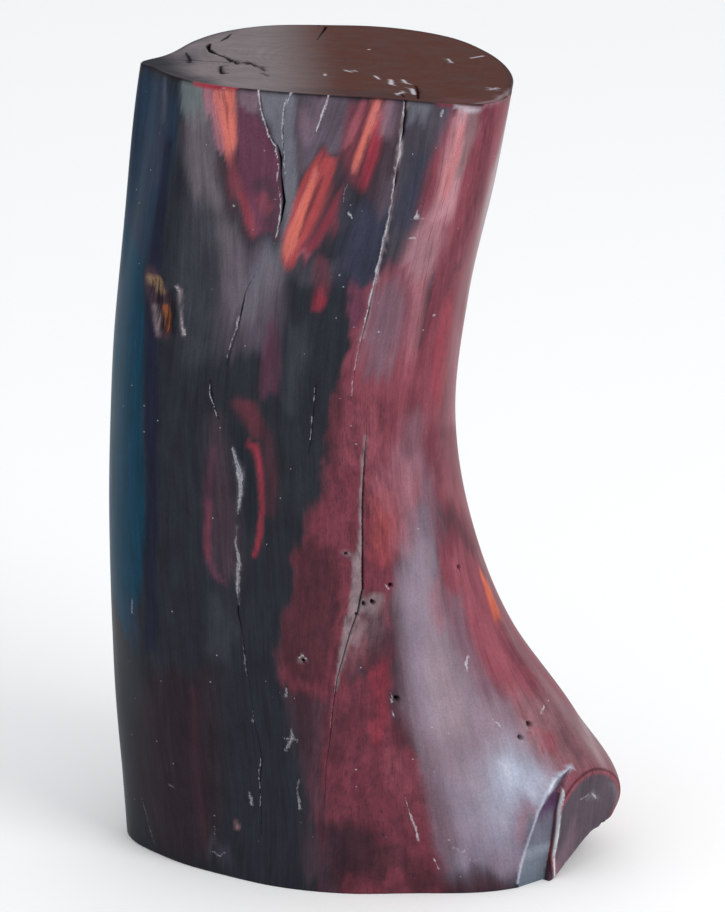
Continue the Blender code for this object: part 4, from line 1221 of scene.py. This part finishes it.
# The wood's colours are laid here, painted sheen, reflection, highlight and shade among them.
wood = np.tile(linear(CHARCOAL), (len(angles), 1))
lay_brushes(HIDDEN, by_angle, drift)
lay_brushes(LEFT_SIDE + UPPER_FRONT + RIGHT_SIDE, on_skin, drift)
lay_brushes(LOWER_FRONT, on_skin, frayed)
lay_brushes(FLANK, on_skin, drift)
clouded = np.zeros(len(angles))
for strength, edge, marks in CLOUDED:
    clouded = np.maximum(clouded, coverage(edge, on_skin(marks), drift) * strength)
sawn_off = (skin_radius(angles, heights) - reach * 180 / math.pi) / MM * on_side
for colour, strength, start, full in SAWN_END:
    lay(colour, fade_in(sawn_off - start, full - start) * strength * (sawn_off > 0))
lay_brushes(HEALED_LIMB + ROOT + RESIDUE + KNOT_WOOD, on_skin, ragged)

in_split = (split_share > 0) & (split_share < WALL_SHARE)
wall_levels = [level for level, _ in SPLIT_WALL]
wall_colours = np.array([linear(colour) for _, colour in SPLIT_WALL])
wall = np.stack([np.interp(heights / MM, wall_levels, wall_colours[:, c]) for c in range(3)], 1)
wood[in_split] = wall[in_split]
lay_brushes(LIPS, on_skin, skin)

# Dried wax and painted glints, with the soft edge of each kind in millimetres and how strong it is.
LINE_EDGE = 0.8
SCAR_EDGE, SCAR_STRENGTH = 1.0, 0.62
SCUFF_EDGE, SCUFF_STRENGTH = 2.2, 0.5
TOP_SCAR_EDGE = 0.7
wax_and_glints = np.zeros(len(angles))
for strength, marks in PALE_LINES:
    wax_and_glints = np.maximum(wax_and_glints, coverage(LINE_EDGE, on_skin(marks), ragged) * strength)
for strokes, edge, strength in (
    (wax_strokes, SCAR_EDGE, SCAR_STRENGTH), (scuff_strokes, SCUFF_EDGE, SCUFF_STRENGTH),
):
    for stroke in strokes:
        depth = depth_within(ragged, stroke, reach)
        wax_and_glints = np.maximum(wax_and_glints, fade_in(depth, edge * MM, AT_EDGE) * on_side * strength)
for stroke in top_wax_strokes:
    depth = depth_within(places[:, :2], stroke)
    wax_and_glints = np.maximum(wax_and_glints, fade_in(depth, TOP_SCAR_EDGE * MM, AT_EDGE) * on_top)

# The knot's dead wood, and painted shade along the edge of the upper face, which gives way where red or a
# painted highlight lies over it.
KNOT_EDGE, KNOT_LIP, KNOT_STRENGTH = 3 * MM, 0.3, 0.85
RIM_WIDTH, RIM_STRENGTH = 1.3 * MM, 1.3
knot = fade_in(in_knot, KNOT_EDGE, KNOT_LIP) * on_side * KNOT_STRENGTH
from_rim = np.where(on_top, (parts - 1) * reach * 180 / math.pi, (1 - parts) * HEIGHT)
rim = fade_in(-from_rim, RIM_WIDTH, RIM_STRENGTH)
for colour, strength, edge, marks in RIM_REDS_AND_HIGHLIGHTS:
    over_rim = coverage(edge, on_skin(marks), ragged) * strength
    lay(colour, over_rim)
    rim = rim * (1 - over_rim)

# Patterns are laid by places that follow the fibres, in millimetres.
turn = np.radians(fibre_angles)
grain = np.stack([np.cos(turn) * TYPICAL_RADIUS, np.sin(turn) * TYPICAL_RADIUS, heights], 1) / MM

# The upper face's laid colours, painted shade and highlight among them, each with the share that it covers.
LEAST_SHARE = 1e-6
top_stain_shade_and_sheen = np.zeros((len(angles), 4))
blotted = places[:, :2] + wavers(angles, places[:, 1], (8, 6, 9, 1.5))[:, None] * MM
for colour, strength, edge, marks in TOP_BRUSHES:
    share = fade_in(depth_within(blotted, on_top_face(marks)), edge * MM, AT_EDGE) * strength * on_top
    kept = top_stain_shade_and_sheen[:, 3] * (1 - share)
    top_stain_shade_and_sheen[:, :3] = linear(colour) * share[:, None] + top_stain_shade_and_sheen[:, :3] * kept[:, None]
    top_stain_shade_and_sheen[:, :3] /= np.maximum(share + kept, LEAST_SHARE)[:, None]
    top_stain_shade_and_sheen[:, 3] = share + kept

# The log as a mesh, with its colours kept at its points.
faces, finishes = [], []
SIDE_FINISH, FOOT_FINISH, TOP_FINISH = 0, 1, 2
for corner in corners:
    part = parts[corner].mean()
    faces.append(list(dict.fromkeys(same_as[corner])))
    finishes.append(FOOT_FINISH if part < 0 else TOP_FINISH if part > 1 else SIDE_FINISH)
used = np.unique(same_as)
renumbered = np.full(len(angles), -1)
renumbered[used] = np.arange(len(used))
log_mesh = bpy.data.meshes.new("log_skin")
log_mesh.from_pydata(places[used], [], [[int(renumbered[i]) for i in face] for face in faces])
log_mesh.polygons.foreach_set("material_index", finishes)
log_mesh.shade_smooth()
# Flames are wood that is much redder than blue, and pale wood that isn't a flame is mostly painted sheen
# and reflection.
LIGHTNESS = np.array([0.2126, 0.7152, 0.0722])
FLAME_REDNESS = 0.16
SHEEN_FROM, SHEEN_SPAN = 0.10, 0.10
streaky = fade_in(wood[:, 0] - wood[:, 2], FLAME_REDNESS)
pale_and_sheen = fade_in(wood @ LIGHTNESS - SHEEN_FROM, SHEEN_SPAN) * (1 - streaky)
shares = {
    "clouded": clouded, "streaky": streaky, "pale_and_sheen": pale_and_sheen, "wax_and_glints": wax_and_glints, "hollow_shade": hollow_shade, "knot": knot,
    "rim": rim,
}
for name, values in shares.items():
    log_mesh.attributes.new(name, "FLOAT", "POINT").data.foreach_set("value", values[used])
for name, values in (("wood", np.hstack([wood, np.ones((len(angles), 1))])), ("top_stain_shade_and_sheen", top_stain_shade_and_sheen)):
    log_mesh.attributes.new(name, "FLOAT_COLOR", "POINT").data.foreach_set("color", values[used].ravel())
log_mesh.attributes.new("grain", "FLOAT_VECTOR", "POINT").data.foreach_set("vector", grain[used].ravel())
log = bpy.data.objects.new("log_skin", log_mesh)
bpy.context.scene.collection.objects.link(log)


def add_node(tree, kind, values=None, links=None, **settings):
    """Adds a node with its settings, its inputs' values and its inputs' links."""
    node = tree.nodes.new(kind)
    for name, value in settings.items():
        setattr(node, name, value)
    for socket, value in (values or {}).items():
        node.inputs[socket].default_value = value
    for socket, source in (links or {}).items():
        tree.links.new(source, node.inputs[socket])
    return node


def new_finish(name, uniform):
    """A new material with its shader's uniform values, its node tree and its shader."""
    finish = bpy.data.materials.new(name)
    finish.use_nodes = True
    shader = finish.node_tree.nodes["Principled BSDF"]
    for socket, value in uniform.items():
        shader.inputs[socket].default_value = value
    return finish, finish.node_tree, shader


def opaque(colour):
    """Linear RGBA of an sRGB hex colour."""
    return (*linear(colour), 1)


# Sockets of the mix and map range nodes, which go by number. A noise lies nearly all within its span.
MIX_PLAIN_A, MIX_PLAIN_B = 2, 3
MIX_A, MIX_B, MIX_RESULT = 6, 7, 2
FROM_MIN, FROM_MAX, TO_MIN, TO_MAX = 1, 2, 3, 4
NOISE_SPAN = {FROM_MIN: 0.3, FROM_MAX: 0.7}
# The studio light lifts every colour by about a seventh, so each is laid on that much darker.
LAID_DARKER = 0.88

# Polished rosewood: rubbed smooth, oiled and waxed, so that it has a soft gloss with the fibres dark in it.
# Its patterns follow the fibres, each with its width and length in millimetres and how fine it is. Real
# fibres and pores are finer, and are drawn as coarse as they need to be to show.
PATTERNS = (
    ("bundle", 3.0, 34, 3), ("fibre", 0.9, 24, 2), ("mottle", 4.2, 8, 4), ("pore", 0.5, 5, 1),
    ("crumb", 0.8, 1.1, 2), ("rubbed", 13, 22, 3),
)
UNEVEN = (("bundle", 0.84, 1.16), ("fibre", 0.9, 1.1), ("rubbed", 0.88, 1.12), ("crumb", 0.9, 1.1))
SHEEN_VEIL = 0.6
polish, tree, shader = new_finish("polished_rosewood", {"IOR": 1.5, "Specular IOR Level": 0.035})
painted = {
    name: add_node(tree, "ShaderNodeAttribute", attribute_name=name)
    for name in ("wood", "clouded", "streaky", "pale_and_sheen", "wax_and_glints", "hollow_shade", "knot", "rim", "grain")
}
noise = {}
for name, width, length, detail in PATTERNS:
    spread = add_node(
        tree,
        "ShaderNodeVectorMath",
        {1: (1 / width, 1 / width, 1 / length)},
        {0: painted["grain"].outputs["Vector"]},
        operation="MULTIPLY",
    )
    field = add_node(
        tree,
        "ShaderNodeTexNoise",
        {"Scale": 1, "Detail": detail, "Roughness": 0.55},
        {"Vector": spread.outputs[0]},
    )
    noise[name] = field.outputs[0]
# Bundles of fibres are lighter and darker by turns, with finer lines in them, and the pale painted sheen
# veils both. Handling has rubbed it unevenly, and close to it is flecked.
uneven = {}
for name, low, high in UNEVEN:
    part = add_node(tree, "ShaderNodeMapRange", {**NOISE_SPAN, TO_MIN: low, TO_MAX: high}, {0: noise[name]})
    uneven[name] = part.outputs[0]
shade = add_node(
    tree, "ShaderNodeMath", links={0: uneven["bundle"], 1: uneven["fibre"]}, operation="MULTIPLY"
)
veil = add_node(
    tree, "ShaderNodeMapRange", {TO_MIN: 0, TO_MAX: SHEEN_VEIL}, {0: painted["pale_and_sheen"].outputs["Fac"]}
)
shade = add_node(
    tree,
    "ShaderNodeMix",
    {MIX_PLAIN_B: 1.0},
    {0: veil.outputs[0], MIX_PLAIN_A: shade.outputs[0]},
    data_type="FLOAT",
)
for name in ("rubbed", "crumb"):
    shade = add_node(
        tree, "ShaderNodeMath", links={0: shade.outputs[0], 1: uneven[name]}, operation="MULTIPLY"
    )
shaded = add_node(
    tree,
    "ShaderNodeVectorMath",
    links={0: painted["wood"].outputs["Color"], "Scale": shade.outputs[0]},
    operation="SCALE",
)
# Dark fibres run through the flames, dark clouds lie in the lower red wood, and painted shade darkens the
# knot's dead wood between its broken fibres: where a pattern begins and is full, and how strong it is at
# most.
DARK_PATTERNS = (
    ("streaky", "fibre", 0.54, 0.70, 0.55), ("clouded", "mottle", 0.4, 0.72, 0.55),
    ("knot", "fibre", 0.46, 0.58, 0.85),
)
dark = {}
for where, pattern, begins, full, most in DARK_PATTERNS:
    part = add_node(
        tree,
        "ShaderNodeMapRange",
        {FROM_MIN: begins, FROM_MAX: full, TO_MIN: 0, TO_MAX: most},
        {0: noise[pattern]},
    )
    there = add_node(
        tree,
        "ShaderNodeMath",
        links={0: part.outputs[0], 1: painted[where].outputs["Fac"]},
        operation="MULTIPLY",
    )
    dark[where] = there.outputs[0]
# Pores are short dark dashes, plainest in the clouded wood.
open_pores = add_node(
    tree, "ShaderNodeMapRange", {TO_MIN: 0.06, TO_MAX: 0.4}, {0: painted["clouded"].outputs["Fac"]}
)
pores = add_node(
    tree,
    "ShaderNodeMapRange",
    {FROM_MIN: 0.6, FROM_MAX: 0.7, TO_MIN: 0},
    {0: noise["pore"], TO_MAX: open_pores.outputs[0]},
)
# Painted shade along the eased rim.
rim_shade_share = add_node(
    tree, "ShaderNodeMath", {1: 0.85}, {0: painted["rim"].outputs["Fac"]}, operation="MULTIPLY"
)
# Dried wax and painted glints are pale and ragged, and specks of dust lie about a centimetre apart.
DUST_SPACING = 11
scraps = add_node(
    tree,
    "ShaderNodeMath",
    {1: 0.7},
    {0: noise["crumb"], 2: painted["wax_and_glints"].outputs["Fac"]},
    operation="MULTIPLY_ADD",
)
dried = add_node(
    tree,
    "ShaderNodeMapRange",
    {FROM_MIN: 0.64, FROM_MAX: 1.08, TO_MIN: 0, TO_MAX: 0.82},
    {0: scraps.outputs[0]},
)
cells = add_node(
    tree,
    "ShaderNodeVectorMath",
    {"Scale": 1 / DUST_SPACING},
    {0: painted["grain"].outputs["Vector"]},
    operation="SCALE",
)
motes = add_node(tree, "ShaderNodeTexVoronoi", {"Scale": 1}, {"Vector": cells.outputs[0]})
dust = add_node(
    tree,
    "ShaderNodeMapRange",
    {FROM_MIN: 0.025, FROM_MAX: 0.045, TO_MIN: 0.5, TO_MAX: 0},
    {0: motes.outputs["Distance"]},
)
pale = add_node(
    tree, "ShaderNodeMath", links={0: dried.outputs[0], 1: dust.outputs[0]}, operation="MAXIMUM"
)
# From the wood outwards: each colour, and the share of it that shows; the rim's dark and the hollows' black
# are painted shade.
layer = shaded.outputs[0]
for colour, share in (
    (DEEP_RED, dark["streaky"]),
    (MAROON, dark["clouded"]),
    (INK, pores.outputs[0]),
    (HOLLOW_SHADE, dark["knot"]),
    (RIM_SHADE, rim_shade_share.outputs[0]),
    (BONE, pale.outputs[0]),
    (HOLLOW_SHADE, painted["hollow_shade"].outputs["Fac"]),
):
    mixed = add_node(
        tree, "ShaderNodeMix", {MIX_B: opaque(colour)}, {0: share, MIX_A: layer}, data_type="RGBA"
    )
    layer = mixed.outputs[MIX_RESULT]
laid = add_node(tree, "ShaderNodeVectorMath", {"Scale": LAID_DARKER}, {0: layer}, operation="SCALE")
tree.links.new(laid.outputs[0], shader.inputs["Base Color"])
# The gloss is uneven with the bundles, and duller where wax has dried and in the hollows.
gloss = add_node(
    tree, "ShaderNodeMapRange", {**NOISE_SPAN, TO_MIN: 0.32, TO_MAX: 0.42}, {0: noise["bundle"]}
)
for source, duller in ((pale.outputs[0], 0.3), (painted["hollow_shade"].outputs["Fac"], 0.5)):
    gloss = add_node(
        tree, "ShaderNodeMath", {1: duller}, {0: source, 2: gloss.outputs[0]}, operation="MULTIPLY_ADD"
    )
tree.links.new(gloss.outputs[0], shader.inputs["Roughness"])
relief = add_node(
    tree, "ShaderNodeBump", {"Strength": 0.1, "Distance": 0.3 * MM}, {"Height": noise["fibre"]}
)
tree.links.new(relief.outputs[0], shader.inputs["Normal"])

# The upper sawn face: end grain, sanded and oiled, grey where the light lies on it and red brown elsewhere.
# Its patterns lie across the face, each with its size along X, Y and Z in millimetres and how fine it is.
FACE_PATTERNS = (
    ("saw", (40, 1.6, 5), 3), ("patch", (18, 12, 8), 3), ("pore", (0.7, 0.7, 0.7), 1),
    ("warp", (22, 22, 22), 1),
)
end_grain, tree, shader = new_finish("oiled_end_grain", {"Specular IOR Level": 0.01})
place = add_node(tree, "ShaderNodeTexCoord")
painted = {
    name: add_node(tree, "ShaderNodeAttribute", attribute_name=name)
    for name in ("top_stain_shade_and_sheen", "wax_and_glints", "hollow_shade", "rim")
}
noise = {}
for name, size, detail in FACE_PATTERNS:
    spread = add_node(
        tree,
        "ShaderNodeVectorMath",
        {1: tuple(1 / (length * MM) for length in size)},
        {0: place.outputs["Object"]},
        operation="MULTIPLY",
    )
    field = add_node(
        tree,
        "ShaderNodeTexNoise",
        {"Scale": 1, "Detail": detail, "Roughness": 0.55},
        {"Vector": spread.outputs[0]},
    )
    noise[name] = field.outputs[0]
# The growth rings run round the pith, a little uneven.
RING = 2.6 * MM
RING_WANDER = 9 * MM
top_pith = (float(pith_at(np.array([HEIGHT]))[0]), 0, HEIGHT)
from_pith = add_node(
    tree, "ShaderNodeVectorMath", {1: top_pith}, {0: place.outputs["Object"]}, operation="DISTANCE"
)
wandering = add_node(
    tree,
    "ShaderNodeMath",
    {1: RING_WANDER},
    {0: noise["warp"], 2: from_pith.outputs["Value"]},
    operation="MULTIPLY_ADD",
)
ring_place = add_node(
    tree, "ShaderNodeMath", {1: 1 / RING}, {0: wandering.outputs[0]}, operation="MULTIPLY"
)
rings = add_node(
    tree,
    "ShaderNodeTexNoise",
    {"Scale": 1, "Detail": 2},
    {"W": ring_place.outputs[0]},
    noise_dimensions="1D",
)
# The grey lies on the left and fades out unevenly across the face.
GREY_LEAN = 0.05
GREY_WANDER = 10 * MM
GREY_FULL, GREY_ENDS = -54 * MM, -6 * MM
apart = add_node(tree, "ShaderNodeSeparateXYZ", links={0: place.outputs["Object"]})
turned = apart.outputs["X"]
for source, amount in ((apart.outputs["Y"], GREY_LEAN), (noise["patch"], GREY_WANDER)):
    leaning = add_node(
        tree, "ShaderNodeMath", {1: amount}, {0: source, 2: turned}, operation="MULTIPLY_ADD"
    )
    turned = leaning.outputs[0]
grey = add_node(
    tree,
    "ShaderNodeMapRange",
    {FROM_MIN: GREY_FULL, FROM_MAX: GREY_ENDS, TO_MIN: 1, TO_MAX: 0},
    {0: turned},
    interpolation_type="SMOOTHSTEP",
)
face = add_node(
    tree,
    "ShaderNodeMix",
    {MIX_A: opaque(RED_BROWN), MIX_B: opaque(GREY_BROWN)},
    {0: grey.outputs[0]},
    data_type="RGBA",
)
# The face's wood and painted grey sheen, with the laid colours and painted shade and highlight over it.
face_overlaid = add_node(
    tree,
    "ShaderNodeMix",
    links={
        0: painted["top_stain_shade_and_sheen"].outputs["Alpha"],
        MIX_A: face.outputs[MIX_RESULT],
        MIX_B: painted["top_stain_shade_and_sheen"].outputs["Color"],
    },
    data_type="RGBA",
)
# Rings, saw lines and patches make it lighter and darker by turns.
turns = [
    add_node(tree, "ShaderNodeMapRange", {**NOISE_SPAN, TO_MIN: low, TO_MAX: high}, {0: source}).outputs[0]
    for source, low, high in (
        (rings.outputs[0], 0.93, 1.07), (noise["saw"], 0.88, 1.12), (noise["patch"], 0.84, 1.16),
    )
]
shade = turns[0]
for factor in turns[1:]:
    product = add_node(tree, "ShaderNodeMath", links={0: shade, 1: factor}, operation="MULTIPLY")
    shade = product.outputs[0]
shaded = add_node(
    tree,
    "ShaderNodeVectorMath",
    links={0: face_overlaid.outputs[MIX_RESULT], "Scale": shade},
    operation="SCALE",
)
pores = add_node(
    tree,
    "ShaderNodeMapRange",
    {FROM_MIN: 0.6, FROM_MAX: 0.7, TO_MIN: 0, TO_MAX: 0.3},
    {0: noise["pore"]},
)
layer = add_node(
    tree,
    "ShaderNodeMix",
    {MIX_B: opaque(MAROON)},
    {0: pores.outputs[0], MIX_A: shaded.outputs[0]},
    data_type="RGBA",
).outputs[MIX_RESULT]
# Painted shade at the rim and in the checks, and pale dried wax, lie over the face.
for name, colour, most in (("rim", RIM_SHADE, 0.7), ("wax_and_glints", BONE, 0.8), ("hollow_shade", HOLLOW_SHADE, 1)):
    share = add_node(
        tree, "ShaderNodeMath", {1: most}, {0: painted[name].outputs["Fac"]}, operation="MULTIPLY"
    )
    mixed = add_node(
        tree,
        "ShaderNodeMix",
        {MIX_B: opaque(colour)},
        {0: share.outputs[0], MIX_A: layer},
        data_type="RGBA",
    )
    layer = mixed.outputs[MIX_RESULT]
laid = add_node(tree, "ShaderNodeVectorMath", {"Scale": LAID_DARKER}, {0: layer}, operation="SCALE")
tree.links.new(laid.outputs[0], shader.inputs["Base Color"])
gloss = add_node(tree, "ShaderNodeMapRange", {**NOISE_SPAN, TO_MIN: 0.36, TO_MAX: 0.5}, {0: noise["patch"]})
tree.links.new(gloss.outputs[0], shader.inputs["Roughness"])
relief = add_node(
    tree, "ShaderNodeBump", {"Strength": 0.12, "Distance": 0.3 * MM}, {"Height": noise["saw"]}
)
tree.links.new(relief.outputs[0], shader.inputs["Normal"])

# The foot is left rough from the saw: dull brown, with its cuts about a millimetre and a half apart.
SAWN_DARK, SAWN_LIGHT = "#2c1d1c", "#5a4038"
CUT_LENGTH, CUT_WIDTH = 50 * MM, 1.5 * MM
rough_sawn, tree, shader = new_finish("rough_sawn_rosewood", {"Roughness": 0.7, "Specular IOR Level": 0.2})
place = add_node(tree, "ShaderNodeTexCoord")
spread = add_node(
    tree,
    "ShaderNodeVectorMath",
    {1: (1 / CUT_LENGTH, 1 / CUT_WIDTH, 1)},
    {0: place.outputs["Object"]},
    operation="MULTIPLY",
)
cuts = add_node(tree, "ShaderNodeTexNoise", {"Scale": 1, "Detail": 3}, {"Vector": spread.outputs[0]})
sawn = add_node(tree, "ShaderNodeValToRGB", links={0: cuts.outputs[0]})
for stop, position, colour in zip(sawn.color_ramp.elements, (0.35, 0.65), (SAWN_DARK, SAWN_LIGHT)):
    stop.position = position
    stop.color = opaque(colour)
tree.links.new(sawn.outputs[0], shader.inputs["Base Color"])
relief = add_node(
    tree, "ShaderNodeBump", {"Strength": 0.4, "Distance": 0.4 * MM}, {"Height": cuts.outputs[0]}
)
tree.links.new(relief.outputs[0], shader.inputs["Normal"])

for finish in (polish, rough_sawn, end_grain):
    log_mesh.materials.append(finish)
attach(log, "root")
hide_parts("log")

# The studio, which isn't part of the log: a pale painted floor, even light all round, and one soft window
# at the right front.
FLOOR_PAINT = (0.92, 0.92, 0.92, 1)
FLOOR_SIZE = 14
ROOM_COLOUR, ROOM_LIGHT = (0.96, 0.98, 1.0, 1), 0.95
WINDOW_PLACE, WINDOW_AIM = Vector((1.6, -1.7, 1.9)), Vector((0, 0, 0.25))
WINDOW_WIDTH, WINDOW_HEIGHT = 1.4, 1.6
WINDOW_POWER, WINDOW_COLOUR = 36, (1.0, 0.98, 0.95)
bpy.ops.mesh.primitive_plane_add(size=FLOOR_SIZE)
floor = bpy.context.object
floor.name = "floor"
paint = new_finish("pale_floor", {"Base Color": FLOOR_PAINT, "Roughness": 0.9})[0]
floor.data.materials.append(paint)
world = bpy.data.worlds.new("studio")
bpy.context.scene.world = world
world.use_nodes = True
world.node_tree.nodes["Background"].inputs["Color"].default_value = ROOM_COLOUR
world.node_tree.nodes["Background"].inputs["Strength"].default_value = ROOM_LIGHT
light = bpy.data.lights.new("window", "AREA")
light.shape = "RECTANGLE"
light.size, light.size_y = WINDOW_WIDTH, WINDOW_HEIGHT
light.energy = WINDOW_POWER
light.color = WINDOW_COLOUR
window = bpy.data.objects.new("window", light)
window.location = WINDOW_PLACE
window.rotation_euler = (WINDOW_AIM - WINDOW_PLACE).to_track_quat("-Z", "Y").to_euler()
bpy.context.scene.collection.objects.link(window)
bpy.context.scene.view_settings.view_transform = "Standard"
